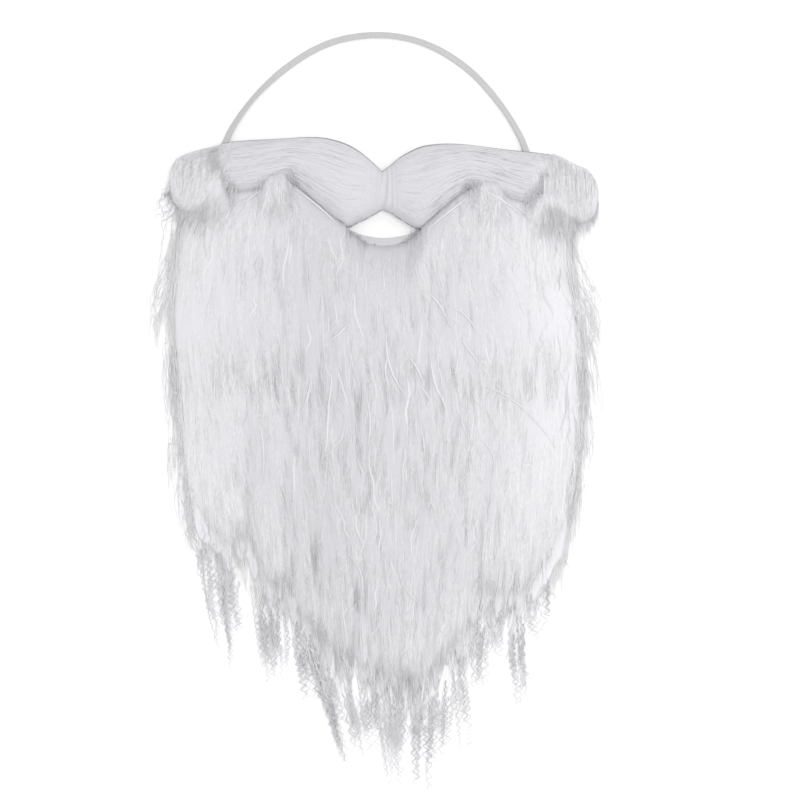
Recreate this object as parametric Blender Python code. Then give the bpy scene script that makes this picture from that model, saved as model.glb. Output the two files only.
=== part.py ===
"""A long white costume beard, lying face up on a flat surface.

A cloth backing with a mouth hole carries the long hair and a moustache. The moustache is one
padded strip of hair cloth, pinched in the middle and gathered into a fluffy tuft at each end.
A flat elastic is sewn between the strip and the backing and goes round the head.

Metres, +Z up, the surface is z = 0. The moustache is towards +Y and the hair falls towards -Y.
The origin is on the surface under the middle of the beard, the elastic left out.
The tables are in millimetres.
"""
import math
import random
from collections import namedtuple

import bmesh
import bpy
import numpy as np
from mathutils import Vector

MM = 0.001
CLEARANCE = 0.3             # between pieces that touch
CUTTER_REACH = 2.0          # how far a cutter goes past the solid
SEED = 5                    # for the small differences between locks

# cloth backing
BACKING_THICKNESS = 1.5
BACKING_INSET = 3.0         # from the moustache's top edge
BACKING_LEFT = -96.0
BACKING_RIGHT = 103.0
CHIN_LEVEL = 128.0          # where the round lower edge of the cloth begins
CHIN_DEPTH = 66.0           # of that round edge, below the chin level
CHIN_STEPS = 20
HIDDEN_HEM = 1.2            # how far the cloth stops short of the moustache over the mouth

# mouth hole, its lower edge an arc
MOUTH_CENTRE = 5.0
MOUTH_LEFT = -18.6
MOUTH_RIGHT = 27.0
MOUTH_BOTTOM = 136.8
MOUTH_ARC_RISE = 5.8        # from the lowest point of the arc to its corners
MOUTH_STEPS = 10
LIP_WIDTH = 4.8             # bare cloth between the arc and the hair
LIP_ROLL = 1.1              # radius of the turned edge
LIP_ROLL_INSET = 1.5        # of its middle from the arc
LIP_ROLL_LEVEL = 1.3        # height of its middle
LIP_ROLL_END = 6.0          # how far it stops short of the corners

# moustache strip: a row for each section, left to right
MoustacheRow = namedtuple("MoustacheRow", "x top bottom height")
MOUSTACHE = [
    MoustacheRow(-97.2, 191.2, 168.0, 9.0),
    MoustacheRow(-90.0, 193.8, 164.4, 12.0),
    MoustacheRow(-78.6, 195.0, 163.2, 14.0),
    MoustacheRow(-63.6, 195.8, 166.2, 15.0),
    MoustacheRow(-51.6, 196.4, 168.6, 15.5),
    MoustacheRow(-42.6, 197.0, 162.6, 16.0),
    MoustacheRow(-30.6, 196.6, 151.8, 16.5),
    MoustacheRow(-18.6, 193.4, 143.2, 16.0),
    MoustacheRow(-9.6, 188.4, 146.2, 14.5),
    MoustacheRow(-2.4, 182.4, 149.8, 12.0),
    MoustacheRow(3.6, 176.6, 153.6, 9.5),
    MoustacheRow(9.6, 181.0, 151.0, 12.0),
    MoustacheRow(16.2, 186.2, 146.8, 14.5),
    MoustacheRow(27.0, 191.4, 142.0, 16.0),
    MoustacheRow(38.4, 193.0, 151.2, 16.5),
    MoustacheRow(48.0, 193.0, 159.6, 16.0),
    MoustacheRow(56.4, 192.3, 165.0, 15.5),
    MoustacheRow(68.4, 190.8, 163.2, 15.0),
    MoustacheRow(81.6, 189.2, 158.4, 14.0),
    MoustacheRow(94.8, 188.0, 155.4, 12.0),
    MoustacheRow(105.6, 186.6, 159.6, 9.0),
]
STRIP_STEPS = 2             # sections of the smooth strip for each row
STRIP_EDGE = 2.2            # height of the strip's folded edge
STRIP_SQUARENESS = 2.6      # 2 is an ellipse, more is boxier
STRIP_SIDES = 12            # edges across its crowned top
GATHER_FOLDS = 5
FOLD_DEPTH = 0.10           # of the gathered folds, as a share of the height

# side tufts: a row for each section, from the gather outwards
TuftRow = namedtuple("TuftRow", "out top bottom height")
LEFT_TUFT_START = -97.5
LEFT_TUFT = [
    TuftRow(0.0, 190.4, 168.8, 9.0),
    TuftRow(5.5, 190.6, 167.0, 12.5),
    TuftRow(13.5, 189.8, 164.4, 13.5),
    TuftRow(21.0, 186.6, 163.6, 11.5),
    TuftRow(26.0, 181.8, 166.4, 8.0),
    TuftRow(28.5, 177.6, 170.4, 4.0),
]
RIGHT_TUFT_START = 105.9
RIGHT_TUFT = [
    TuftRow(0.0, 186.0, 160.2, 9.0),
    TuftRow(6.0, 185.4, 157.0, 12.5),
    TuftRow(14.0, 182.2, 155.0, 13.5),
    TuftRow(22.0, 178.4, 155.2, 11.5),
    TuftRow(27.0, 172.2, 158.4, 8.0),
    TuftRow(29.5, 168.6, 163.0, 4.0),
]
TUFT_EDGE = 1.6
TUFT_FOLDS = 4
TUFT_FOLD_DEPTH = 0.14

# body of the hair: a row for each level, top to bottom
HairRow = namedtuple("HairRow", "y left right height")
HAIR = [
    HairRow(166.0, -119.0, 127.0, 11.0),
    HairRow(142.0, -121.0, 120.0, 15.0),
    HairRow(118.0, -124.0, 122.0, 19.0),
    HairRow(88.0, -129.0, 132.0, 22.0),
    HairRow(64.0, -125.0, 130.0, 23.0),
    HairRow(28.0, -118.0, 128.0, 22.0),
    HairRow(-2.0, -117.0, 123.0, 20.0),
    HairRow(-32.0, -109.0, 117.0, 18.0),
    HairRow(-56.0, -102.0, 113.0, 16.0),
    HairRow(-80.0, -86.0, 98.0, 14.0),
    HairRow(-110.0, -58.0, 78.0, 12.0),
    HairRow(-140.0, -38.0, 56.0, 10.0),
]
HAIR_SIDE_HEM = -52.0       # level where the body of the hair ends at the sides
HAIR_CENTRE_HEM = -136.0    # and in the middle
HAIR_EDGE = 3.0             # height of its edge
HAIR_SQUARENESS = 3.2       # of its section across, as for the strip
HAIR_SIDE_PLACES = (-108.0, 117.0)   # under the tufts, between the strip's ends and its sides
HEM_ROUNDNESS = 0.8         # less is a fuller hem
HAIR_ROWS = 15
SEAM_GAP = 0.8              # between the hair and the moustache
SEAM_DIP = 0.55             # height at the seam, as a share of the full height
SEAM_ROLL = 26.0            # how far below the seam the full height is reached

# locks along the outline: a row for each lock, from the left tuft round to the right one
LockRow = namedtuple("LockRow", "root_x root_y tip_x tip_y width")
EDGE_LOCKS = [
    LockRow(-115, 140, -136.6, 78, 17),
    LockRow(-116, 118, -130, 58, 17),
    LockRow(-113, 98, -122, 34, 16),
    LockRow(-108, 70, -122, -2, 16),
    LockRow(-105, 42, -118, -24, 16),
    LockRow(-101, 18, -113, -44, 16),
    LockRow(-96, 0, -105, -66, 17),
    LockRow(-90, -20, -95, -98, 15),
    LockRow(-80, -30, -86, -126, 15),
    LockRow(-70, -44, -67, -116, 16),
    LockRow(-60, -50, -58, -143, 14),
    LockRow(-46, -60, -40, -140, 18),
    LockRow(-33, -70, -29, -152, 17),
    LockRow(-18, -78, -19, -179, 21),
    LockRow(-9, -92, -9, -160, 15),
    LockRow(-2, -96, 1, -182, 15),
    LockRow(10, -90, 14, -196, 24),
    LockRow(20, -92, 21, -178, 14),
    LockRow(28, -90, 29, -197, 18),
    LockRow(38, -96, 37, -176, 15),
    LockRow(46, -78, 52, -173, 18),
    LockRow(60, -66, 65, -136, 17),
    LockRow(72, -60, 75, -114, 16),
    LockRow(82, -48, 87, -142, 16),
    LockRow(90, -36, 96, -98, 16),
    LockRow(99, -14, 105, -80, 17),
    LockRow(105, 8, 112, -60, 18),
    LockRow(110, 28, 118, -40, 17),
    LockRow(115, 50, 124, -12, 17),
    LockRow(119, 74, 128, 12, 16),
    LockRow(121, 98, 132, 40, 16),
    LockRow(123, 118, 136, 77, 15),
]
EDGE_LOCK_FLATNESS = 0.42   # thickness as a share of the width
LOCK_SIDES = 8
LOCK_STATIONS = 7
LOCK_ROOT = 0.7             # width of a root as a share of the lock's
LOCK_BLUNT = 0.14           # and of a tip
LOCK_TAPER = 1.7            # more keeps the width further towards the tip
LOCK_SWAY = 0.05            # sideways bow as a share of the length

# locks that lie on the body of the hair, in overlapping tiers
TierRow = namedtuple("TierRow", "root_y length count half_span width")
TIERS = [
    TierRow(160.0, 84.0, 8, 104.0, 30.0),
    TierRow(98.0, 96.0, 7, 100.0, 32.0),
    TierRow(36.0, 94.0, 6, 86.0, 30.0),
    TierRow(-24.0, 84.0, 5, 48.0, 26.0),
]
TIER_ROOT_DROP = 9.0        # least distance of a root below the seam
TIER_RISE = 2.6             # of a lock above the body of the hair
TIER_SINK = 3.0             # of its root into the body
TIER_TIP_SINK = 2.0         # and of its tip
TIER_STAGGER = 9.0          # of its root up or down
TIER_LEAN = 7.0             # of its tip sideways
TIER_MIDDLE = 4.0           # where the tiers are centred, across

# elastic: flat, its route along the middle of the strap, left end to right end
ElasticPoint = namedtuple("ElasticPoint", "x y z")
ELASTIC_WIDTH = 4.0
ELASTIC_THICKNESS = 1.2
ELASTIC_ROUTE = [
    ElasticPoint(-94.6, 183.6, 2.45),
    ElasticPoint(-92.8, 188.0, 2.45),
    ElasticPoint(-90.2, 194.6, 1.6),
    ElasticPoint(-86.6, 202.4, 0.8),
    ElasticPoint(-79.0, 213.8, 0.8),
    ElasticPoint(-69.0, 225.6, 0.8),
    ElasticPoint(-55.2, 238.0, 0.8),
    ElasticPoint(-38.0, 249.4, 0.8),
    ElasticPoint(-19.8, 256.4, 0.8),
    ElasticPoint(1.2, 258.8, 0.8),
    ElasticPoint(20.7, 256.4, 0.8),
    ElasticPoint(38.4, 249.6, 0.8),
    ElasticPoint(55.2, 238.2, 0.8),
    ElasticPoint(67.6, 225.8, 0.8),
    ElasticPoint(77.4, 213.4, 0.8),
    ElasticPoint(85.4, 200.4, 0.8),
    ElasticPoint(89.4, 191.4, 1.2),
    ElasticPoint(91.6, 183.4, 2.45),
    ElasticPoint(93.2, 178.0, 2.45),
]
ELASTIC_STEPS = 4           # strap points from one route point to the next
ELASTIC_RESOLUTION = 1
POCKET_WIDTH = 9.0          # recess in the moustache for a sewn end
POCKET_LENGTH = 24.0
POCKET_HEIGHT = 3.5

HAIR_COLOUR = (0.76, 0.76, 0.80, 1.0)
STRIP_COLOUR = (0.80, 0.80, 0.84, 1.0)
CLOTH_COLOUR = (0.78, 0.78, 0.80, 1.0)
ELASTIC_COLOUR = (0.66, 0.66, 0.67, 1.0)


def make_material(name, colour, roughness):
    material = bpy.data.materials.new(name)
    material.use_nodes = True
    shader = material.node_tree.nodes["Principled BSDF"]
    shader.inputs["Base Color"].default_value = colour
    shader.inputs["Roughness"].default_value = roughness
    shader.inputs["Metallic"].default_value = 0.0
    return material


def make_object(name, points, faces, collection, material=None):
    """A mesh object from points in millimetres."""
    mesh = bpy.data.meshes.new(name)
    mesh.from_pydata([Vector(point) * MM for point in points], [], faces)
    work = bmesh.new()
    work.from_mesh(mesh)
    bmesh.ops.recalc_face_normals(work, faces=work.faces)
    work.to_mesh(mesh)
    work.free()
    mesh.shade_smooth()
    mesh.set_sharp_from_angle(angle=math.radians(50))
    item = bpy.data.objects.new(name, mesh)
    collection.objects.link(item)
    if material:
        mesh.materials.append(material)
    return item


def column(table, name):
    return [getattr(row, name) for row in table]


def value_at(table, key, name, place):
    """The named column of a table at a place between its rows."""
    keys = column(table, key)
    values = column(table, name)
    if keys[0] > keys[-1]:
        keys.reverse()
        values.reverse()
    return float(np.interp(place, keys, values))


def loft(rings):
    """Points and faces of a closed body through rings with the same number of points."""
    count = len(rings[0])
    points = [point for ring in rings for point in ring]
    faces = []
    for ring in range(len(rings) - 1):
        first = ring * count
        second = first + count
        for place in range(count):
            after = (place + 1) % count
            faces.append((first + place, first + after, second + after, second + place))
    faces.append(tuple(range(count)))
    faces.append(tuple(range(len(points) - count, len(points))))
    return points, faces


def pillow_ring(x, top, bottom, height, edge, folds, depth):
    """A flat-bottomed section across X: two short edges and a crowned top with gathered folds."""
    middle = (top + bottom) / 2
    half = (top - bottom) / 2
    power = 2 / STRIP_SQUARENESS
    ring = [(x, bottom, 0.0)]
    for step in range(STRIP_SIDES + 1):
        turn = math.pi * step / STRIP_SIDES
        across = -math.copysign(abs(math.cos(turn)) ** power, math.cos(turn))
        crown = abs(math.sin(turn)) ** power
        fold = 1 + depth * math.sin(turn) * math.cos(2 * folds * turn)
        ring.append((x, middle + across * half, edge + (height - edge) * crown * fold))
    ring.append((x, top, 0.0))
    return ring


def catmull_rom(before, start, end, after, t):
    """The point at t from start to end on a smooth curve that also passes before and after."""
    return 0.5 * (2 * start + (end - before) * t
                  + (2 * before - 5 * start + 4 * end - after) * t * t
                  + (3 * start - before - 3 * end + after) * t ** 3)


def smooth_through(rows, steps):
    """Points on a Catmull-Rom curve through rows of numbers, steps of them for each row."""
    knots = [np.array(row, dtype=float) for row in rows]
    knots.insert(0, 2 * knots[0] - knots[1])
    knots.append(2 * knots[-1] - knots[-2])
    points = []
    for place in range(1, len(knots) - 2):
        for step in range(steps):
            points.append(catmull_rom(*knots[place - 1:place + 3], step / steps))
    points.append(knots[-2])
    return points


STRIP = [MoustacheRow(*row) for row in smooth_through(MOUSTACHE, STRIP_STEPS)]


def moustache_top(x):
    return value_at(STRIP, "x", "top", x)


def moustache_bottom(x):
    return value_at(STRIP, "x", "bottom", x)


def mouth_arc(x):
    """The lower edge of the mouth hole."""
    half = (MOUTH_RIGHT - MOUTH_LEFT) / 2
    return MOUTH_BOTTOM + MOUTH_ARC_RISE * ((x - MOUTH_CENTRE) / half) ** 2


def seam(x):
    """The upper edge of the hair: under the tufts, along the moustache and round the mouth."""
    if x < MOUSTACHE[0].x:
        return min(column(LEFT_TUFT, "bottom")) - SEAM_GAP
    if x > MOUSTACHE[-1].x:
        return min(column(RIGHT_TUFT, "bottom")) - SEAM_GAP
    along_strip = moustache_bottom(x) - SEAM_GAP
    if MOUTH_LEFT < x < MOUTH_RIGHT:
        return min(along_strip, mouth_arc(x) - LIP_WIDTH)
    return along_strip


def hair_sides(y):
    return value_at(HAIR, "y", "left", y), value_at(HAIR, "y", "right", y)


def hair_height(x, y):
    """Height of the body of the hair: round across, lower at the seam."""
    left, right = hair_sides(y)
    across = abs(2 * (x - left) / (right - left) - 1)
    round_across = (1 - min(1.0, across) ** HAIR_SQUARENESS) ** 0.5
    below = min(1.0, max(0.0, seam(x) - y) / SEAM_ROLL)
    at_seam = SEAM_DIP + (1 - SEAM_DIP) * math.sin(below * math.pi / 2)
    full = value_at(HAIR, "y", "height", y)
    return HAIR_EDGE + (full - HAIR_EDGE) * round_across * at_seam


def hair_body(collection, material):
    """The crowned mass of the hair, flat below, its upper edge shaped by the seam."""
    under_left, under_right = HAIR_SIDE_PLACES
    stations = [HAIR[0].left, under_left] + column(STRIP, "x") + [under_right, HAIR[0].right]
    start_left, start_right = hair_sides(HAIR[0].y)
    grid = []
    for row in range(HAIR_ROWS + 1):
        down = row / HAIR_ROWS
        line = []
        for x in stations:
            across = (x - start_left) / (start_right - start_left)
            hem_shape = abs(math.sin(math.pi * across)) ** HEM_ROUNDNESS
            hem = HAIR_SIDE_HEM + (HAIR_CENTRE_HEM - HAIR_SIDE_HEM) * hem_shape
            y = seam(x) + (hem - seam(x)) * down
            left, right = hair_sides(y)
            place = left + (right - left) * across
            if row == 0:
                place = x
            height = HAIR_EDGE if row == HAIR_ROWS else hair_height(place, y)
            line.append((place, y, height))
        grid.append(line)
    width = len(stations)
    points = [point for line in grid for point in line]
    faces = []
    for row in range(HAIR_ROWS):
        for place in range(width - 1):
            corner = row * width + place
            faces.append((corner, corner + 1, corner + width + 1, corner + width))
    rim = list(range(width))
    rim += [row * width + width - 1 for row in range(1, HAIR_ROWS + 1)]
    rim += [HAIR_ROWS * width + place for place in range(width - 2, -1, -1)]
    rim += [row * width for row in range(HAIR_ROWS - 1, 0, -1)]
    base = len(points)
    points += [(points[place][0], points[place][1], 0.0) for place in rim]
    for step in range(len(rim)):
        after = (step + 1) % len(rim)
        faces.append((rim[step], base + step, base + after, rim[after]))
    faces.append(tuple(range(base, len(points))))
    return make_object("beard", points, faces, collection, material)


def lock(name, root, tip, width, thickness, level, sway, collection):
    """A tapered lock from root to tip. level gives its middle height at a place."""
    start = Vector(root)
    run = Vector(tip) - start
    side = Vector((-run.y, run.x)).normalized()
    rings = []
    for station in range(LOCK_STATIONS):
        along = station / (LOCK_STATIONS - 1)
        centre = start + run * along + side * (sway * run.length * math.sin(math.pi * along))
        narrowing = along ** LOCK_TAPER
        taper = min(1.0, LOCK_ROOT + along) * (1 - narrowing) + LOCK_BLUNT * narrowing
        half_width = width / 2 * taper
        half_thickness = thickness / 2 * taper
        middle = max(level(centre.x, centre.y, along), half_thickness + CLEARANCE)
        ring = []
        for place in range(LOCK_SIDES):
            turn = 2 * math.pi * (place + 0.5) / LOCK_SIDES
            spot = centre + side * (half_width * math.cos(turn))
            ring.append((spot.x, spot.y, middle + half_thickness * math.sin(turn)))
        rings.append(ring)
    points, faces = loft(rings)
    return make_object(name, points, faces, collection)


def edge_level(x, y, along):
    """Locks on the outline come out of the hair at half its height and droop to the surface."""
    return 0.5 * hair_height(x, y) * (1 - along)


def tier_level(x, y, along):
    """Locks on top follow the body of the hair and sink back into it at the root."""
    root_sink = TIER_SINK * (1 - min(1.0, along * 4))
    return hair_height(x, y) - root_sink - TIER_TIP_SINK * along ** 2


def make_locks(collection):
    chance = random.Random(SEED)
    for number, row in enumerate(EDGE_LOCKS):
        sway = chance.uniform(-LOCK_SWAY, LOCK_SWAY)
        lock(f"edge_lock_{number}", (row.root_x, row.root_y), (row.tip_x, row.tip_y),
             row.width, row.width * EDGE_LOCK_FLATNESS, edge_level, sway, collection)
    for tier, row in enumerate(TIERS):
        for number in range(row.count):
            x = TIER_MIDDLE + row.half_span * (2 * number / (row.count - 1) - 1)
            y = row.root_y + chance.uniform(-TIER_STAGGER, TIER_STAGGER)
            root = (x, min(y, seam(x) - TIER_ROOT_DROP))
            tip = (x + chance.uniform(-TIER_LEAN, TIER_LEAN), root[1] - row.length)
            sway = chance.uniform(-LOCK_SWAY, LOCK_SWAY)
            lock(f"tier_{tier}_lock_{number}", root, tip, row.width, 2 * TIER_RISE,
                 tier_level, sway, collection)


def backing_outline(margin):
    """The cloth's outer edge: along the strip, then round the chin. A margin makes it larger."""
    top = []
    places = column(STRIP, "x")
    between = [(first + second) / 2 for first, second in zip(places, places[1:])]
    inner = [x for x in between if BACKING_LEFT < x < BACKING_RIGHT]
    for x in [BACKING_LEFT - margin] + inner + [BACKING_RIGHT + margin]:
        top.append((x, moustache_top(x) - BACKING_INSET + margin))
    middle = (BACKING_LEFT + BACKING_RIGHT) / 2
    half = (BACKING_RIGHT - BACKING_LEFT) / 2 + margin
    chin = []
    for step in range(CHIN_STEPS + 1):
        turn = math.pi * step / CHIN_STEPS
        y = CHIN_LEVEL - (CHIN_DEPTH + margin) * math.sin(turn)
        chin.append((middle + half * math.cos(turn), y))
    return top + chin


def mouth_outline():
    inner = [row for row in STRIP if MOUTH_LEFT <= row.x <= MOUTH_RIGHT]
    upper = [(row.x, row.bottom + HIDDEN_HEM) for row in inner]
    lower = [(x, mouth_arc(x)) for x in np.linspace(MOUTH_RIGHT, MOUTH_LEFT, MOUTH_STEPS + 1)]
    return upper + lower


def flat_sheet(name, outlines, bottom, top, collection, material=None):
    """A flat plate from 2D outlines, the first one solid and the others cut out."""
    curve = bpy.data.curves.new(name, "CURVE")
    curve.dimensions = "2D"
    curve.fill_mode = "BOTH"
    curve.extrude = (top - bottom) / 2 * MM
    for outline in outlines:
        spline = curve.splines.new("POLY")
        spline.points.add(len(outline) - 1)
        for point, (x, y) in zip(spline.points, outline):
            point.co = (x * MM, y * MM, 0.0, 1.0)
        spline.use_cyclic_u = True
    guide = bpy.data.objects.new(name, curve)
    guide.location.z = (top + bottom) / 2 * MM
    return solid_from_curve(guide, name, collection, material)


def solid_from_curve(guide, name, collection, material=None):
    """A closed mesh object from a curve object, which is removed."""
    collection.objects.link(guide)
    bpy.context.view_layer.update()
    evaluated = guide.evaluated_get(bpy.context.evaluated_depsgraph_get())
    mesh = bpy.data.meshes.new_from_object(evaluated)
    work = bmesh.new()
    work.from_mesh(mesh)
    bmesh.ops.remove_doubles(work, verts=work.verts, dist=0.00001)
    bmesh.ops.recalc_face_normals(work, faces=work.faces)
    work.to_mesh(mesh)
    work.free()
    place = guide.matrix_world.copy()
    bpy.data.objects.remove(guide)
    item = bpy.data.objects.new(name, mesh)
    item.matrix_world = place
    mesh.materials.clear()
    if material:
        mesh.materials.append(material)
    collection.objects.link(item)
    return item


def boolean(item, other, operation):
    cut = item.modifiers.new(f"{operation.lower()} {other.name}", "BOOLEAN")
    cut.operation = operation
    cut.object = other
    cut.solver = "EXACT"


def boolean_all(item, collection):
    join = item.modifiers.new("locks", "BOOLEAN")
    join.operation = "UNION"
    join.operand_type = "COLLECTION"
    join.collection = collection
    join.solver = "EXACT"


def lip_roll(collection):
    """The turned lower edge of the mouth hole, a thin roll on the cloth."""
    curve = bpy.data.curves.new("lip_roll", "CURVE")
    curve.dimensions = "3D"
    curve.bevel_depth = LIP_ROLL * MM
    curve.bevel_resolution = 1
    curve.use_fill_caps = True
    stops = np.linspace(MOUTH_LEFT + LIP_ROLL_END, MOUTH_RIGHT - LIP_ROLL_END, MOUTH_STEPS + 1)
    spline = curve.splines.new("POLY")
    spline.points.add(len(stops) - 1)
    for point, x in zip(spline.points, stops):
        place = (x, mouth_arc(x) - LIP_ROLL_INSET, LIP_ROLL_LEVEL)
        point.co = (place[0] * MM, place[1] * MM, place[2] * MM, 1.0)
    guide = bpy.data.objects.new("lip_roll", curve)
    return solid_from_curve(guide, "lip_roll", collection)


def pillow(name, rows, folds, depth, edge, collection, material):
    """A padded piece through sections given as x, top, bottom and height."""
    rings = [pillow_ring(x, top, bottom, height, edge, folds, depth)
             for x, top, bottom, height in rows]
    points, faces = loft(rings)
    return make_object(name, points, faces, collection, material)


def tuft(name, start, direction, table, collection, material):
    rows = [(start + direction * row.out, row.top, row.bottom, row.height) for row in table]
    return pillow(name, rows, TUFT_FOLDS, TUFT_FOLD_DEPTH, TUFT_EDGE, collection, material)


def make_elastic(collection, material):
    """A flat strap: a curve with an extruded, rounded section, turned to lie flat."""
    curve = bpy.data.curves.new("elastic", "CURVE")
    curve.dimensions = "3D"
    curve.twist_mode = "Z_UP"
    curve.extrude = (ELASTIC_WIDTH - ELASTIC_THICKNESS) / 2 * MM
    curve.bevel_depth = ELASTIC_THICKNESS / 2 * MM
    curve.bevel_resolution = ELASTIC_RESOLUTION
    curve.use_fill_caps = True
    points = smooth_through(ELASTIC_ROUTE, ELASTIC_STEPS)
    spline = curve.splines.new("POLY")
    spline.points.add(len(points) - 1)
    for point, place in zip(spline.points, points):
        point.co = (*(place * MM), 1.0)
        point.tilt = math.pi / 2
    item = bpy.data.objects.new("elastic", curve)
    curve.materials.append(material)
    collection.objects.link(item)
    return item


def end_pocket(name, inner, outer, collection):
    """A slanted box along a sewn end of the elastic, cut out of the moustache."""
    start = Vector(inner).to_2d()
    along = (Vector(outer).to_2d() - start).normalized()
    side = Vector((-along.y, along.x)) * (POCKET_WIDTH / 2)
    begin = start - along * CUTTER_REACH
    finish = begin + along * POCKET_LENGTH
    corners = [begin + side, begin - side, finish - side, finish + side]
    outline = [(corner.x, corner.y) for corner in corners]
    return flat_sheet(name, [outline], -CUTTER_REACH, POCKET_HEIGHT, collection)


def main():
    for item in list(bpy.data.objects):
        bpy.data.objects.remove(item)
    parts = bpy.data.collections.new("fake_beard")
    cutters = bpy.data.collections.new("cutters")
    locks = bpy.data.collections.new("locks")
    for collection in (parts, cutters, locks):
        bpy.context.scene.collection.children.link(collection)

    hair = make_material("beard_hair", HAIR_COLOUR, 0.62)
    strip = make_material("moustache_hair", STRIP_COLOUR, 0.60)
    cloth = make_material("backing_cloth", CLOTH_COLOUR, 0.85)
    webbing = make_material("elastic_webbing", ELASTIC_COLOUR, 0.70)

    backing = flat_sheet("backing", [backing_outline(0.0), mouth_outline()],
                         0.0, BACKING_THICKNESS, parts, cloth)
    boolean(backing, lip_roll(cutters), "UNION")

    pocket = flat_sheet("backing_pocket", [backing_outline(CLEARANCE)],
                        -CUTTER_REACH, BACKING_THICKNESS + CLEARANCE, cutters)
    beard = hair_body(parts, hair)
    make_locks(locks)
    boolean_all(beard, locks)
    boolean(beard, pocket, "DIFFERENCE")

    moustache = pillow("moustache", STRIP, GATHER_FOLDS, FOLD_DEPTH, STRIP_EDGE, parts, strip)
    boolean(moustache, pocket, "DIFFERENCE")
    ends = ((ELASTIC_ROUTE[0], ELASTIC_ROUTE[2]), (ELASTIC_ROUTE[-1], ELASTIC_ROUTE[-3]))
    for number, (inner, outer) in enumerate(ends):
        boolean(moustache, end_pocket(f"end_pocket_{number}", inner, outer, cutters), "DIFFERENCE")

    for name, start, direction, table in (("side_tuft_left", LEFT_TUFT_START, -1, LEFT_TUFT),
                                          ("side_tuft_right", RIGHT_TUFT_START, 1, RIGHT_TUFT)):
        tuft(name, start, direction, table, parts, hair)

    make_elastic(parts, webbing)

    for collection in (cutters, locks):
        for item in collection.objects:
            item.hide_render = True
            item.display_type = "WIRE"


main()
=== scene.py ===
import math

import bmesh
import bpy
import numpy as np
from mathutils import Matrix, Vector


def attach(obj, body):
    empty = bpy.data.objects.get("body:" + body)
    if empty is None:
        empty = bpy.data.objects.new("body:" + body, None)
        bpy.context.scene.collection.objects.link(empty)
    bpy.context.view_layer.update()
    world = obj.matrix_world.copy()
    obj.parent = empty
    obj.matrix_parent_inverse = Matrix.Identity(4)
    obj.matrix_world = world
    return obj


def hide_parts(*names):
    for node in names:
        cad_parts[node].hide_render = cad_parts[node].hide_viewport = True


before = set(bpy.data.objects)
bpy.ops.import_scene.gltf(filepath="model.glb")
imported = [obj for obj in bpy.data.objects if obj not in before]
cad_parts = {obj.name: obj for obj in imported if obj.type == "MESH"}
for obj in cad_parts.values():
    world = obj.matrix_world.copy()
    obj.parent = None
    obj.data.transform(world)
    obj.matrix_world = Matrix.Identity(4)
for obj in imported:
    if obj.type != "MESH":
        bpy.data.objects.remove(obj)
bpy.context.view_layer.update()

# THE VIEW
# The beard lies face up, the moustache towards the top of the picture, and is seen from straight
# above through a long lens.
PICTURE_WIDTH = 0.480
PICTURE_CENTRE = Vector((0.0144, 0.0396, 0.002))
LENS_MM = 90.0
SENSOR_MM = 36.0

camera_data = bpy.data.cameras.new("camera")
camera_data.lens = LENS_MM
camera_data.sensor_width = SENSOR_MM
camera = bpy.data.objects.new("camera", camera_data)
camera.location = PICTURE_CENTRE + Vector((0, 0, PICTURE_WIDTH * LENS_MM / SENSOR_MM))
bpy.context.scene.collection.objects.link(camera)
bpy.context.scene.camera = camera

# THE ELASTIC
# A flat braided elastic, 4 mm wide, that goes round the head. Its ends are sewn between the cloth
# and the moustache, and between them it lies on the surface in a round arc, a little on edge.
ELASTIC_WIDTH = 0.004
ELASTIC_THICKNESS = 0.0011
ELASTIC_CORDS = 6               # cords side by side in the braid
ELASTIC_PITCH = 0.0021          # from one crossing of the braid to the next
ELASTIC_RELIEF = 0.00010
ELASTIC_RINGS = 430
ELASTIC_SIDES = 28
ELASTIC_LIFT = 0.0002           # of a turned stretch above the surface
ELASTIC_ROLL = np.array([       # share of the length and turn of the band about it, in radians
    (0.00, 0.10),
    (0.10, 0.55),
    (0.18, 0.62),
    (0.26, 0.20),
    (0.36, 0.15),
    (0.45, 0.42),
    (0.56, 0.50),
    (0.64, 0.35),
    (0.71, -0.05),
    (0.77, -0.10),
    (0.83, 0.50),
    (0.91, 0.52),
    (1.00, 0.10),
])
ELASTIC_ROUTE = np.array([
    (-0.0946, 0.1836, 0.00245),
    (-0.0928, 0.1880, 0.00245),
    (-0.0902, 0.1946, 0.00160),
    (-0.0866, 0.2024, 0.00080),
    (-0.0790, 0.2138, 0.00080),
    (-0.0690, 0.2256, 0.00080),
    (-0.0552, 0.2380, 0.00080),
    (-0.0380, 0.2494, 0.00080),
    (-0.0198, 0.2564, 0.00080),
    (0.0012, 0.2588, 0.00080),
    (0.0207, 0.2564, 0.00080),
    (0.0384, 0.2496, 0.00080),
    (0.0552, 0.2382, 0.00080),
    (0.0676, 0.2258, 0.00080),
    (0.0774, 0.2134, 0.00080),
    (0.0854, 0.2004, 0.00080),
    (0.0894, 0.1914, 0.00120),
    (0.0916, 0.1834, 0.00245),
    (0.0932, 0.1780, 0.00245),
])


def smooth_through(rows, count):
    """count points on the Catmull-Rom curve through rows: between rows b and c, with a before and
    d after, p = (2b + (c-a)t + (2a-5b+4c-d)t^2 + (3b-a-3c+d)t^3) / 2."""
    rows = np.asarray(rows, float)
    padded = np.vstack([2 * rows[0] - rows[1], rows, 2 * rows[-1] - rows[-2]])
    place = np.linspace(0, len(rows) - 1, count)
    first = np.minimum(place.astype(int), len(rows) - 2)
    t = (place - first)[:, None]
    a, b, c, d = (padded[first + step] for step in range(4))
    return 0.5 * (2 * b + (c - a) * t + (2 * a - 5 * b + 4 * c - d) * t ** 2
                  + (3 * b - a - 3 * c + d) * t ** 3)


def unit(vectors):
    """Each vector divided by its length."""
    return vectors / np.linalg.norm(vectors, axis=-1, keepdims=True)


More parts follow.
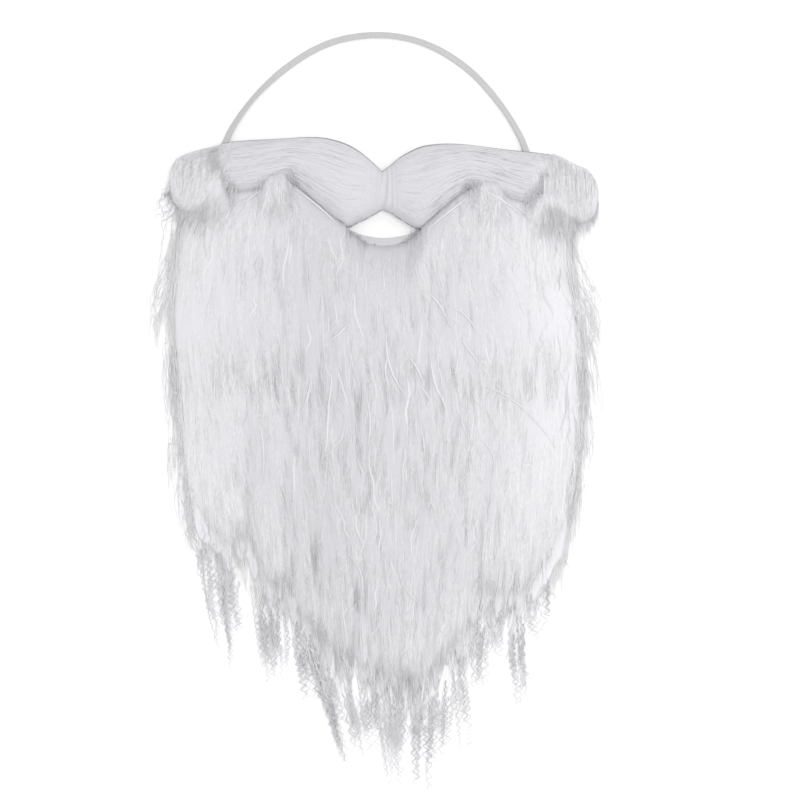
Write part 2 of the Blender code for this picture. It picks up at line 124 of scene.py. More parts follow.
def mesh_piece(name, points, quads, triangles, across_along):
    """A smooth mesh object from whole arrays. across_along is the UV of each point."""
    corners = np.concatenate([quads.ravel(), triangles.ravel()]).astype(np.int32)
    starts = np.concatenate([np.arange(len(quads)) * 4, len(quads) * 4 + np.arange(len(triangles)) * 3])
    mesh = bpy.data.meshes.new(name)
    mesh.vertices.add(len(points))
    mesh.vertices.foreach_set("co", points.astype(np.float32).ravel())
    mesh.loops.add(len(corners))
    mesh.loops.foreach_set("vertex_index", corners)
    mesh.polygons.add(len(starts))
    mesh.polygons.foreach_set("loop_start", starts.astype(np.int32))
    mesh.update(calc_edges=True)
    layer = mesh.uv_layers.new(name="across_along")
    layer.data.foreach_set("uv", across_along[corners].astype(np.float32).ravel())
    mesh.shade_smooth()
    item = bpy.data.objects.new(name, mesh)
    bpy.context.scene.collection.objects.link(item)
    return item


def ring_quads(count, sides, closed=False):
    """Quads from each ring of points to the next, and from the last ring to the first if closed."""
    ring, side = np.meshgrid(np.arange(count if closed else count - 1), np.arange(sides), indexing="ij")
    after = (side + 1) % sides
    following = (ring + 1) % count
    return np.stack([ring * sides + side, ring * sides + after,
                     following * sides + after, following * sides + side], -1).reshape(-1, 4)


def grid_uv(rows, columns):
    """UV of a grid of points: 0 to 1 across its columns and along its rows."""
    across, along = np.meshgrid(np.linspace(0, 1, columns), np.linspace(0, 1, rows))
    return np.stack([across, along], -1).reshape(-1, 2)


def closed_tube(name, rings):
    """A closed body through rings, an array of (ring, point, xyz): quads from each ring to the
    next, and a fan from each end ring to its middle."""
    count, sides = rings.shape[:2]
    points = np.concatenate([rings.reshape(-1, 3), rings[0].mean(0)[None], rings[-1].mean(0)[None]])
    edge = np.arange(sides)
    turned = (edge + 1) % sides
    last = (count - 1) * sides
    start_cap = np.stack([turned, edge, np.full(sides, count * sides)], -1)
    end_cap = np.stack([last + edge, last + turned, np.full(sides, count * sides + 1)], -1)
    uv = np.concatenate([grid_uv(count, sides), [[0.5, 0.0], [0.5, 1.0]]])
    item = mesh_piece(name, points, ring_quads(count, sides), np.concatenate([start_cap, end_cap]), uv)
    face_outwards(item)
    return item


def face_outwards(item):
    """Turns a closed body's faces outwards."""
    work = bmesh.new()
    work.from_mesh(item.data)
    bmesh.ops.recalc_face_normals(work, faces=work.faces)
    work.to_mesh(item.data)
    work.free()
    item.data.shade_smooth()


def new_material(name, roughness, specular):
    """A Principled material and its node tree's pieces: material, tree, shader."""
    material = bpy.data.materials.new(name)
    material.use_nodes = True
    shader = material.node_tree.nodes["Principled BSDF"]
    shader.inputs["Roughness"].default_value = roughness
    shader.inputs["Specular IOR Level"].default_value = specular
    return material, material.node_tree, shader


def add_node(tree, kind, **settings):
    """A new node with its settings."""
    node = tree.nodes.new(kind)
    for name, value in settings.items():
        setattr(node, name, value)
    return node


def stretched_noise(tree, scale, detail):
    """Noise on the piece's own UV, stretched by scale = (across, along)."""
    uv = add_node(tree, "ShaderNodeUVMap", uv_map="across_along")
    place = add_node(tree, "ShaderNodeMapping")
    place.inputs["Scale"].default_value = (scale[0], scale[1], 1.0)
    noise = add_node(tree, "ShaderNodeTexNoise")
    noise.inputs["Scale"].default_value = 1.0
    noise.inputs["Detail"].default_value = detail
    tree.links.new(uv.outputs["UV"], place.inputs["Vector"])
    tree.links.new(place.outputs["Vector"], noise.inputs["Vector"])
    return noise.outputs["Fac"]


def ramp(tree, value, stops):
    """A colour ramp on value, its stops given as (place, colour)."""
    node = add_node(tree, "ShaderNodeValToRGB")
    elements = node.color_ramp.elements
    while len(elements) < len(stops):
        elements.new(0.5)
    for element, (place, colour) in zip(elements, stops):
        element.position = place
        element.color = (*colour, 1.0)
    tree.links.new(value, node.inputs["Fac"])
    return node.outputs["Color"]


def raise_surface(tree, shader, height, distance, strength):
    """Bump of a height in metres."""
    bump = add_node(tree, "ShaderNodeBump")
    bump.inputs["Distance"].default_value = distance
    bump.inputs["Strength"].default_value = strength
    tree.links.new(height, bump.inputs["Height"])
    tree.links.new(bump.outputs["Normal"], shader.inputs["Normal"])


def elastic_rings(path):
    """Sections along the path: a flat oval, |a|^4 + |b|^4 = 1, with a plaited relief of cosines that
    cross half a pitch apart on neighbouring cords, turned about the path by the roll."""
    along = np.concatenate([[0], np.cumsum(np.linalg.norm(np.diff(path, axis=0), axis=1))])
    share = along / along[-1]
    rolls = smooth_through(ELASTIC_ROLL, 200)
    roll = np.interp(share, rolls[:, 0], rolls[:, 1])
    tangent = unit(np.gradient(path, axis=0))
    side = unit(np.cross(tangent, (0.0, 0.0, 1.0)))
    normal = np.cross(side, tangent)
    turn = np.linspace(0, 2 * math.pi, ELASTIC_SIDES, endpoint=False)
    across = np.sign(np.cos(turn)) * np.abs(np.cos(turn)) ** 0.5
    thick = np.sign(np.sin(turn)) * np.abs(np.sin(turn)) ** 0.5
    cord = np.floor((across * 0.5 + 0.5) * ELASTIC_CORDS * 0.999)
    ribs = np.abs(np.sin(math.pi * (across * 0.5 + 0.5) * ELASTIC_CORDS))
    plait = np.cos(2 * math.pi * along[:, None] / ELASTIC_PITCH + math.pi * cord[None])
    relief = ELASTIC_RELIEF * ribs * (0.8 + 0.5 * plait) * np.abs(thick)
    a = across[None] * ELASTIC_WIDTH / 2 * 0.985
    b = thick[None] * (ELASTIC_THICKNESS / 2 - ELASTIC_RELIEF + relief)
    turned_a = a * np.cos(roll)[:, None] - b * np.sin(roll)[:, None]
    turned_b = a * np.sin(roll)[:, None] + b * np.cos(roll)[:, None]
    rings = path[:, None] + turned_a[..., None] * side[:, None] + turned_b[..., None] * normal[:, None]
    below = np.minimum(rings[..., 2].min(1) - ELASTIC_LIFT, 0)
    rings[..., 2] -= below[:, None]
    return rings


elastic_path = smooth_through(ELASTIC_ROUTE, ELASTIC_RINGS)
elastic = closed_tube("elastic_braid", elastic_rings(elastic_path))

braid, tree, shader = new_material("braided_elastic", 0.75, 0.25)
fibres = stretched_noise(tree, (14, 420), 2)
tint = ramp(tree, fibres, [(0.3, (0.50, 0.50, 0.50)), (0.7, (0.60, 0.60, 0.60))])
tree.links.new(tint, shader.inputs["Base Color"])
raise_surface(tree, shader, stretched_noise(tree, (40, 900), 1), 0.00006, 0.8)
elastic.data.materials.append(braid)

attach(elastic, "root")
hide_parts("elastic")

# THE BACKING
# White woven cloth, 1.5 mm thick, cut to the shape of the strip at the top and round at the chin.
# The mouth hole's lower edge is turned over and shows as a smooth lip; the hair is sewn to its face.
STRIP_ROWS = np.array([                 # x, top, bottom and height of the moustache strip above it
    (-0.0972, 0.1912, 0.1680, 0.0090),
    (-0.0900, 0.1938, 0.1644, 0.0120),
    (-0.0786, 0.1950, 0.1632, 0.0140),
    (-0.0636, 0.1958, 0.1662, 0.0150),
    (-0.0516, 0.1964, 0.1686, 0.0155),
    (-0.0426, 0.1970, 0.1626, 0.0160),
    (-0.0306, 0.1966, 0.1518, 0.0165),
    (-0.0186, 0.1934, 0.1432, 0.0160),
    (-0.0096, 0.1884, 0.1462, 0.0145),
    (-0.0024, 0.1824, 0.1498, 0.0120),
    (0.0036, 0.1766, 0.1536, 0.0095),
    (0.0096, 0.1810, 0.1510, 0.0120),
    (0.0162, 0.1862, 0.1468, 0.0145),
    (0.0270, 0.1914, 0.1420, 0.0160),
    (0.0384, 0.1930, 0.1512, 0.0165),
    (0.0480, 0.1930, 0.1596, 0.0160),
    (0.0564, 0.1923, 0.1650, 0.0155),
    (0.0684, 0.1908, 0.1632, 0.0150),
    (0.0816, 0.1892, 0.1584, 0.0140),
    (0.0948, 0.1880, 0.1554, 0.0120),
    (0.1056, 0.1866, 0.1596, 0.0090),
])
CLOTH_THICKNESS = 0.0015
CLOTH_INSET = 0.003                     # from the strip's upper edge
CLOTH_LEFT = -0.096
CLOTH_RIGHT = 0.103
CHIN_LEVEL = 0.128
CHIN_DEPTH = 0.066
MOUTH_LEFT = -0.0186
MOUTH_RIGHT = 0.0270
MOUTH_CENTRE = 0.0050
MOUTH_BOTTOM = 0.1368
MOUTH_RISE = 0.0058
MOUTH_MIDDLE = (0.0045, 0.1430)         # the cloth's rows are drawn round this point
LIP_HEIGHT = 0.0006                     # of the turned edge above the cloth
LIP_DISTANCE = 0.0014                   # of its crest from the edge
LIP_SPREAD = 0.0009                     # half width of the lip's roll
CLOTH_COLUMNS = 320                     # round the mouth hole
STRIP_LEFT = STRIP_ROWS[0, 0]
STRIP_RIGHT = STRIP_ROWS[-1, 0]
PINCH_ROW = 10                          # the row of the pinch, where both edges come to a point
strip_fine = np.vstack([smooth_through(STRIP_ROWS[:PINCH_ROW + 1], 401),
                        smooth_through(STRIP_ROWS[PINCH_ROW:], 401)[1:]])


def strip_column(x, column):
    """A column of the strip's rows at x, on the smooth curve through them."""
    return np.interp(x, strip_fine[:, 0], strip_fine[:, column])


def mouth_arc(x):
    """The mouth's lower edge: bottom + rise * ((x - centre) / half width)^2."""
    return MOUTH_BOTTOM + MOUTH_RISE * ((x - MOUTH_CENTRE) / ((MOUTH_RIGHT - MOUTH_LEFT) / 2)) ** 2


def reach(outline, turn):
    """Distance of a closed outline from the mouth's middle, at each turn round it."""
    offset = outline - np.array(MOUTH_MIDDLE)
    angle = np.arctan2(offset[:, 1], offset[:, 0])
    order = np.argsort(angle)
    return np.interp(turn, angle[order], np.linalg.norm(offset[order], axis=1), period=2 * math.pi)


def cloth_rings(turns):
    """Sections of the cloth from the mouth hole outwards: flat on both faces, the edges rounded,
    and the lip a low Gaussian roll along the lower edge of the hole."""
    x = np.linspace(CLOTH_LEFT, CLOTH_RIGHT, 300)
    chin = np.linspace(0, math.pi, 200)
    middle = (CLOTH_LEFT + CLOTH_RIGHT) / 2
    half = (CLOTH_RIGHT - CLOTH_LEFT) / 2
    outer = np.concatenate([
        np.stack([x, strip_column(x, 1) - CLOTH_INSET], 1),
        np.stack([middle + half * np.cos(chin), CHIN_LEVEL - CHIN_DEPTH * np.sin(chin)], 1)])
    x = np.linspace(MOUTH_LEFT, MOUTH_RIGHT, 200)
    mouth = np.concatenate([np.stack([x, strip_column(x, 2) + 0.0010], 1),
                            np.stack([x, mouth_arc(x)], 1)])
    near = reach(mouth, turns)[:, None]
    far = reach(outer, turns)[:, None]
    from_edge = np.array([0.0, 0.0001, 0.0004, 0.0008, 0.0012, 0.0016, 0.0020, 0.0026, 0.0034, 0.0046])
    share = np.concatenate([np.linspace(0.08, 0.98, 14), [0.995, 1.0]])
    out = np.concatenate([near + from_edge[None], near + (far - near) * share[None]], 1)
    out = np.maximum.accumulate(out, axis=1)
    top = np.full(out.shape, CLOTH_THICKNESS)
    top[:, 0] = top[:, -1] = CLOTH_THICKNESS * 0.55
    top[:, 1] = top[:, -2] = CLOTH_THICKNESS * 0.9
    below = np.clip(-np.sin(turns) * 1.6, 0, 1)[:, None]
    top += LIP_HEIGHT * below * np.exp(-((out - near - LIP_DISTANCE) / LIP_SPREAD) ** 2)
    under = out[:, ::-1]
    bottom = np.full(out.shape, 0.00005)
    bottom[:, 0] = bottom[:, -1] = CLOTH_THICKNESS * 0.3
    distance = np.concatenate([out, under], 1)
    height = np.concatenate([top, bottom], 1)
    return np.stack([MOUTH_MIDDLE[0] + distance * np.cos(turns)[:, None],
                     MOUTH_MIDDLE[1] + distance * np.sin(turns)[:, None], height], -1)


def closed_ring(name, rings):
    """A body through rings that goes round and closes on itself."""
    count, sides = rings.shape[:2]
    item = mesh_piece(name, rings.reshape(-1, 3), ring_quads(count, sides, closed=True),
                      np.empty((0, 3), int), grid_uv(count, sides))
    face_outwards(item)
    return item


turns = np.linspace(-math.pi, math.pi, CLOTH_COLUMNS, endpoint=False)
cloth = closed_ring("backing_cloth", cloth_rings(turns))

weave, tree, shader = new_material("backing_weave", 0.9, 0.15)
place = add_node(tree, "ShaderNodeTexCoord").outputs["Object"]
threads = []
for direction in ("X", "Y"):
    wave = add_node(tree, "ShaderNodeTexWave", wave_type="BANDS", bands_direction=direction)
    wave.inputs["Scale"].default_value = 420.0
    wave.inputs["Distortion"].default_value = 0.6
    tree.links.new(place, wave.inputs["Vector"])
    threads.append(wave.outputs["Fac"])
crossing = add_node(tree, "ShaderNodeMath", operation="MULTIPLY")
tree.links.new(threads[0], crossing.inputs[0])
tree.links.new(threads[1], crossing.inputs[1])
tint = ramp(tree, crossing.outputs["Value"], [(0.0, (0.62, 0.62, 0.64)), (1.0, (0.70, 0.70, 0.72))])
tree.links.new(tint, shader.inputs["Base Color"])
raise_surface(tree, shader, crossing.outputs["Value"], 0.00012, 0.6)
cloth.data.materials.append(weave)

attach(cloth, "root")
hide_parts("backing")

# THE HAIR
# Long white synthetic hair sewn to the cloth in overlapping rows. It falls straight from the
# moustache and the tufts, fullest below the mouth, and ends in ragged kinky wisps.
FALL_ROWS = np.array([                  # level, left edge, right edge and height of the mass
    (0.166, -0.1170, 0.1215, 0.0135),
    (0.142, -0.1180, 0.1170, 0.0165),
    (0.118, -0.1200, 0.1170, 0.0190),
    (0.088, -0.1230, 0.1215, 0.0215),
    (0.064, -0.1215, 0.1225, 0.0220),
    (0.028, -0.1180, 0.1230, 0.0210),
    (-0.002, -0.1165, 0.1205, 0.0190),
    (-0.040, -0.1110, 0.1165, 0.0165),
    (-0.080, -0.1045, 0.1100, 0.0140),
    (-0.140, -0.0960, 0.1000, 0.0110),
    (-0.200, -0.0900, 0.0920, 0.0090),
])
HEM_ROWS = np.array([                   # place from left to right and level where the dense hair ends
    (-0.130, 0.030),
    (-0.1180, -0.012),
    (-0.1120, -0.032),
    (-0.1040, -0.046),
    (-0.0900, -0.062),
    (-0.0820, -0.058),
    (-0.0770, -0.056),
    (-0.0700, -0.076),
    (-0.0620, -0.088),
    (-0.0540, -0.084),
    (-0.0450, -0.104),
    (-0.0260, -0.125),
    (-0.0100, -0.135),
    (0.0080, -0.141),
    (0.0260, -0.144),
    (0.0410, -0.131),
    (0.0550, -0.109),
    (0.0620, -0.088),
    (0.0720, -0.091),
    (0.0860, -0.091),
    (0.1000, -0.078),
    (0.1100, -0.058),
    (0.1190, -0.037),
    (0.1250, -0.010),
    (0.1350, 0.030),
])
FALL_EDGE = 0.003                       # height of the mass at its sides
FALL_POWER = 2.6                        # how full the fall's section is, and how much fuller at the tufts
TUFT_POWER = 3.4
SHOULDER_LEVEL = 0.040                  # where it starts to fill out, and over what length
SHOULDER_LENGTH = 0.110
PUFF_LENGTH = 0.010                     # of a puff down the fall
SIDE_RUN_OUT = 0.006                    # of the height outside the fall's edges
SEAM_OVERLAP = 0.0014                   # of the hair under the strip's round lower edge
LIP_WIDTH = 0.0048                      # bare lip between the mouth hole and the hair
SEAM_DIP = 0.64                         # height at the strip and at the lip, as a share of the full height
LIP_DIP = 0.12
SEAM_ROLL = 0.016
LIP_ROLL = 0.034
HEM_THIN = 0.016                        # above the hem the mass stays thin, then it swells
HEM_FADE = 0.085
PUFFS = (                               # hair that stands up over the seam: x, half width, rise, height
    (-0.0980, 0.0090, 0.0050, 0.0056),
    (-0.0595, 0.0080, 0.0050, 0.0062),
    (0.0684, 0.0080, 0.0048, 0.0058),
    (0.1030, 0.0095, 0.0046, 0.0056),
    (-0.1150, 0.0090, 0.0, 0.0025),
    (0.1200, 0.0100, 0.0, 0.0028),
)
TUFT_LEVEL_LEFT = 0.1720                # where the hair starts under the tufts
TUFT_LEVEL_RIGHT = 0.1660
LOCK_RELIEF = 0.00030                   # of the soft locks in the mass
LOCK_WAVES = 18
LOCKS_ACROSS = (9.0, 64.0)              # locks side by side in the widest and finest wave
HOLLOWS = (                             # partings: x, y, half width, half length, depth
    (-0.0360, -0.0560, 0.0024, 0.0150, 0.0018),
    (-0.0110, -0.0800, 0.0016, 0.0080, 0.0016),
    (-0.0560, 0.0850, 0.0030, 0.0300, 0.0012),
    (-0.0330, 0.0600, 0.0030, 0.0420, 0.0012),
    (-0.0110, 0.0200, 0.0024, 0.0300, 0.0012),
    (0.0310, 0.0520, 0.0024, 0.0260, 0.0010),
    (0.0520, -0.0200, 0.0024, 0.0300, 0.0010),
    (-0.0420, -0.0200, 0.0030, 0.0300, 0.0012),
)

fall_fine = smooth_through(FALL_ROWS, 800)


def fall_column(y, column):
    """A column of the fall's rows at y, on the smooth curve through them."""
    return np.interp(-y, -fall_fine[:, 0], fall_fine[:, column])


def fall_x(place, y):
    """The fall's own columns: place 0 is its left edge and 1 its right edge, all the way down."""
    left, right = fall_column(y, 1), fall_column(y, 2)
    return left + (right - left) * place


def puffed(x, column):
    """The puffs' rise or height at x: the sum of value * exp(-((x - middle) / half width)^4)."""
    return sum(puff[column] * np.exp(-((x - puff[0]) / puff[1]) ** 4) for puff in PUFFS)


def by_mouth(x):
    """1 below the mouth hole, down to 0 on either side of it."""
    return 1 - np.clip((np.abs(x - MOUTH_CENTRE) - 0.013) / 0.013, 0, 1)


def seam_level(x):
    """Upper edge of the hair: along the strip, over it at the puffs, round the mouth, and level
    under the tufts."""
    along_strip = strip_column(x, 2) + SEAM_OVERLAP + puffed(x, 2)
    from_middle = (x - MOUTH_CENTRE) / ((MOUTH_RIGHT - MOUTH_LEFT) / 2)
    lip = LIP_WIDTH * np.sqrt(np.clip(1 - from_middle ** 2, 0, 1))
    at_mouth = np.where(np.abs(from_middle) < 1, mouth_arc(x) - lip, 1.0)
    level = np.minimum(along_strip, at_mouth)
    level = np.where(x < STRIP_LEFT, TUFT_LEVEL_LEFT, level)
    return np.where(x > STRIP_RIGHT, TUFT_LEVEL_RIGHT, level)


def hem_level(x):
    """Where the dense hair ends."""
    return np.interp(x, HEM_ROWS[:, 0], HEM_ROWS[:, 1])


def ends_of_column(place):
    """Where a column of the fall starts and where its dense hair ends, by repeated substitution."""
    high, low = np.full_like(place, 0.16), np.full_like(place, -0.08)
    for _ in range(4):
        high = seam_level(fall_x(place, high))
        low = 0.5 * low + 0.5 * hem_level(fall_x(place, low))
    return high, low


def lock_relief(place, y):
    """Soft locks: the mean square of many sines across the fall, each of its own width, whose phase
    wanders down it with a sine of the level."""
    seeded = np.random.default_rng(7)
    relief = np.zeros(np.broadcast(place, y).shape)
    for _ in range(LOCK_WAVES):
        number = math.exp(seeded.uniform(math.log(LOCKS_ACROSS[0]), math.log(LOCKS_ACROSS[1])))
        first, second, third = seeded.random(3)
        wander = 0.5 * np.sin(seeded.uniform(20, 60) * y + 6.28 * second + 3 * place)
        relief += np.sin(2 * math.pi * (number * place + first + wander)) * np.cos(
            seeded.uniform(8, 30) * y + 6.28 * third)
    return LOCK_RELIEF * relief / math.sqrt(LOCK_WAVES / 2)


def fall_height(x, y):
    """Height of the hair: edge + (full - edge) * (1 - |across|^n), with n larger at the tufts,
    lower at the seam and towards the hem, with the puffs, locks and partings on it, and down to
    the surface outside the edges."""
    left, right = fall_column(y, 1), fall_column(y, 2)
    across = 2 * (x - left) / (right - left) - 1
    shoulder = np.clip((y - SHOULDER_LEVEL) / SHOULDER_LENGTH, 0, 1)
    power = FALL_POWER + TUFT_POWER * shoulder ** 2 * (3 - 2 * shoulder)
    dome = 1 - np.minimum(np.abs(across), 1) ** power
    mouth = by_mouth(x)
    from_seam = np.maximum(seam_level(x) - y, 0)
    below = np.minimum(from_seam / (SEAM_ROLL + (LIP_ROLL - SEAM_ROLL) * mouth), 1)
    dip = SEAM_DIP + (LIP_DIP - SEAM_DIP) * mouth
    at_seam = dip + (1 - dip) * np.sin(below * math.pi / 2)
    above_hem = np.clip((y - hem_level(x) - HEM_THIN) / HEM_FADE, 0, 1)
    thinning = 0.03 + 0.97 * np.sin(above_hem * math.pi / 2)
    height = FALL_EDGE * (0.25 + 0.75 * above_hem) + (fall_column(y, 3) - FALL_EDGE) * dome * thinning
    height = height * at_seam
    height = height + puffed(x, 3) * np.exp(-(from_seam / PUFF_LENGTH) ** 2)
    outside = np.maximum(np.abs(across) - 1, 0) * (right - left) / 2
    height = height * np.exp(-outside / SIDE_RUN_OUT) + lock_relief(across * 0.5 + 0.5, y) * dome
    for middle, level, half_width, half_length, depth in HOLLOWS:
        off = ((x - middle) / half_width) ** 2
        height = height - depth * np.exp(-off - ((y - level) / half_length) ** 2)
    return np.maximum(height, 0.0004)


def slab(name, top, bottom):
    """A closed body between two grids of the same shape, (row, column, xyz)."""
    rows, columns = top.shape[:2]
    points = np.concatenate([top.reshape(-1, 3), bottom.reshape(-1, 3)])
    row, column = np.meshgrid(np.arange(rows - 1), np.arange(columns - 1), indexing="ij")
    corner = row * columns + column
    upper = np.stack([corner, corner + 1, corner + columns + 1, corner + columns], -1).reshape(-1, 4)
    lower = upper[:, ::-1] + rows * columns
    rim = np.concatenate([
        np.arange(columns), np.arange(1, rows) * columns + columns - 1,
        (rows - 1) * columns + np.arange(columns - 2, -1, -1), np.arange(rows - 2, 0, -1) * columns])
    after = np.roll(rim, -1)
    wall = np.stack([rim, rim + rows * columns, after + rows * columns, after], -1)
    item = mesh_piece(name, points, np.concatenate([upper, lower, wall]), np.empty((0, 3), int),
                      np.tile(grid_uv(rows, columns), (2, 1)))
    face_outwards(item)
    return item


GROUND_ROWS = 90
GROUND_COLUMNS = 240
GROUND_MARGIN = 0.012                   # of the mass from the fall's edges, as a share of its width
GROUND_HEM = 0.006                      # of the mass above the hem
RAGS = ((0.0060, 31, 0.0), (0.0045, 18.7, 1.0))        # size, number across and phase


def ground_grid(rows, columns):
    """The mass under the visible hair: its columns run from the seam to a hem made ragged by two
    sines across the fall."""
    place = np.linspace(GROUND_MARGIN, 1 - GROUND_MARGIN, columns)
    high, low = ends_of_column(place)
    ragged = sum(size * np.sin(2 * math.pi * number * place + phase) for size, number, phase in RAGS)
    ragged = ragged * np.clip(np.minimum(place, 1 - place) / 0.1, 0, 1)
    down = np.linspace(0, 1, rows)[:, None] ** 0.92
    y = high + (low + GROUND_HEM + ragged - high) * down
    x = fall_x(np.broadcast_to(place, y.shape), y)
    z = np.maximum(fall_height(x, y), 0.0009)
    return np.stack([x, y, z], -1)


ground_top = ground_grid(GROUND_ROWS, GROUND_COLUMNS)
ground_bottom = ground_top.copy()
on_cloth = (np.abs(ground_bottom[..., 0] - 0.0035) < 0.0985) & (ground_bottom[..., 1] > 0.060)
ground_bottom[..., 2] = np.where(on_cloth, 0.0017, 0.0003)
ground_bottom[..., 2] = np.minimum(ground_bottom[..., 2], ground_top[..., 2] - 0.0003)
hair_ground = slab("hair_ground", ground_top, ground_bottom)


def hair_mesh(name, paths, radius, shade, sides=3, flatness=1.0, swelling=False):
    """Hairs as closed tapers on paths (hair, point, xyz), their last point the tip. The radius
    narrows as 1 - 0.7 t^2, or swells and narrows as sin(pi (0.06 + 0.94 t)). Each hair's shade is
    its UV across, t its UV along."""
    count, points = paths.shape[:2]
    t = np.linspace(0, 1, points)
    tangent = unit(np.gradient(paths, axis=1) + 1e-9)
    side = unit(np.cross(tangent, (0.0, 0.0, 1.0)) + np.array([1e-7, 0, 0]))
    normal = np.cross(side, tangent)
    turn = math.pi / 2 + np.linspace(0, 2 * math.pi, sides, endpoint=False)
    taper = np.sin(math.pi * (0.06 + 0.94 * t)) ** 0.8 if swelling else 1 - 0.7 * t ** 2
    size = (radius[:, None] * taper[None])[:, :-1, None, None]
    rings = paths[:, :-1, None] + size * (np.cos(turn)[:, None] * side[:, :-1, None]
                                          + flatness * np.sin(turn)[:, None] * normal[:, :-1, None])
    body = np.concatenate([rings.reshape(count, -1, 3), paths[:, -1:]], 1)
    body[..., 2] = np.maximum(body[..., 2], 0.0001)
    ring, corner = np.meshgrid(np.arange(points - 2), np.arange(sides), indexing="ij")
    after = (corner + 1) % sides
    quads = np.stack([ring * sides + corner, (ring + 1) * sides + corner,
                      (ring + 1) * sides + after, ring * sides + after], -1).reshape(-1, 4)
    base = (points - 2) * sides
    apex = (points - 1) * sides
    edge = np.arange(sides)
    tip_fan = np.stack([base + edge, np.full(sides, apex), base + (edge + 1) % sides], -1)
    root_fan = np.stack([np.zeros(sides - 2, int), edge[1:-1], edge[2:]], -1)
    triangles = np.concatenate([tip_fan, root_fan])
    first = np.arange(count)[:, None, None] * (apex + 1)
    along = np.concatenate([np.repeat(t[:-1], sides), [1.0]])
    uv = np.stack([np.broadcast_to(shade[:, None], (count, apex + 1)),
                   np.broadcast_to(along[None], (count, apex + 1))], -1)
    return mesh_piece(name, body.reshape(-1, 3), (quads[None] + first).reshape(-1, 4),
                      (triangles[None] + first).reshape(-1, 3), uv.reshape(-1, 2))


def waves(draw, count, points, size, turns):
    """A sideways wave for each hair, of its own phase: size * sin(2 pi (turns t + phase)) t."""
    t = np.linspace(0, 1, points)[None]
    phase = draw.random((count, 1))
    swing = draw.normal(0, 1, (count, 1)) * size
    number = turns * (0.6 + 0.8 * draw.random((count, 1)))
    return swing * (np.sin(2 * math.pi * (number * t + phase)) - np.sin(2 * math.pi * phase)) * t ** 0.5


TONE_PLACES = (0, 0.15, 0.32, 0.48, 0.64, 0.80, 1.0)
TONES = (0.90, 0.66, 0.30, 0.32, 0.42, 0.76, 1.0)


def tone(place):
    """Mean shade of the hair across the fall: darker in the middle, lighter at the sides, lightest on the
    right.
    """
    return np.interp(place, TONE_PLACES, TONES)


def lock_hairs(draw, locks, hairs, points, high, low, length, width, lift, wave, lean):
    """Hairs in locks that lie on the fall. A lock has a place, a root level between high and low, a
    length and a lean; its hairs start spread over its width and close in towards its tip."""
    lock_place = draw.permutation((np.arange(locks) + draw.random(locks)) / locks)
    column_high, column_low = ends_of_column(lock_place)
    lock_root = low + (high - low) * draw.random(locks)
    lock_root = column_low + (column_high - column_low) * lock_root
    lock_length = draw.uniform(*length, locks)
    lock_width = draw.uniform(*width, locks)
    lock_lean = draw.normal(0, lean, locks)
    lock_lift = draw.uniform(*lift, locks)
    lock_shade = tone(lock_place) + draw.normal(0, 0.05, locks)
    own = np.repeat(np.arange(locks), hairs)
    count = len(own)
    offset = np.clip(draw.normal(0, 0.5, count), -1.1, 1.1)
    t = np.linspace(0, 1, points)[None]
    sideways = (offset * lock_width[own] / 2)[:, None] * (1 - 0.6 * t ** 1.4)
    sideways = sideways + lock_lean[own][:, None] * t ** 1.5 + waves(draw, count, points, wave, 1.3)
    place = lock_place[own]
    root = np.minimum(lock_root[own] + draw.uniform(-0.014, 0.014, count), column_high[own])
    tip = np.maximum(root - lock_length[own] * draw.uniform(0.7, 1.1, count),
                     column_low[own] - 0.006 * draw.exponential(1.0, count) + 0.004)
    y = root[:, None] + (tip - root)[:, None] * t
    x = fall_x(place[:, None], y) + sideways
    crown = (1 - np.minimum(np.abs(offset), 1)[:, None] ** 2) * lock_lift[own][:, None]
    crown = crown * np.sin(math.pi * (0.05 + 0.9 * t))
    rooted = -0.0008 * np.exp(-t / 0.08)
    layer = draw.uniform(-0.0001, 0.00005, (count, 1))
    z = np.maximum(fall_height(x, y) + crown + rooted + layer, 0.0005)
    near_hem = np.exp(-np.maximum(tip - column_low[own], 0) / 0.020)
    shade = np.clip(lock_shade[own] + 0.35 * near_hem + draw.normal(0, 0.05, count), 0, 1)
    return np.stack([x, y, z], -1), shade


HAIR_DEEP = (0.600, 0.596, 0.618)
HAIR_DARK = (0.830, 0.825, 0.850)
HAIR_MIDDLE = (0.890, 0.885, 0.910)
HAIR_LIGHT = (0.940, 0.937, 0.952)
MASS_TONE_ACROSS = (                            # place across the fall, and the share the mass's colour is multiplied by there
    (0.0, 1.1), (0.16, 0.97), (0.34, 0.87), (0.48, 0.89), (0.66, 0.90), (0.80, 0.94), (0.95, 1.11))
STREAK_RELIEF = 0.0002


def own_across(tree):
    """The piece's own UV across."""
    uv = add_node(tree, "ShaderNodeUVMap", uv_map="across_along")
    parts = add_node(tree, "ShaderNodeSeparateXYZ")
    tree.links.new(uv.outputs["UV"], parts.inputs["Vector"])
    return parts.outputs["X"]


def multiplied(tree, first, second, share=None):
    """The first colour times the second, in full or by a share from another node."""
    mix = add_node(tree, "ShaderNodeMix", data_type="RGBA", blend_type="MULTIPLY")
    mix.inputs["Factor"].default_value = 1.0
    if share is not None:
        tree.links.new(share, mix.inputs["Factor"])
    tree.links.new(first, mix.inputs["A"])
    tree.links.new(second, mix.inputs["B"])
    return mix.outputs["Result"]


white_hair, tree, shader = new_material("white_hair", 0.6, 0.25)
by_shade = ramp(tree, own_across(tree), [(0.0, HAIR_DEEP), (0.3, HAIR_DARK),
                                         (0.6, HAIR_MIDDLE), (1.0, HAIR_LIGHT)])
tree.links.new(by_shade, shader.inputs["Base Color"])

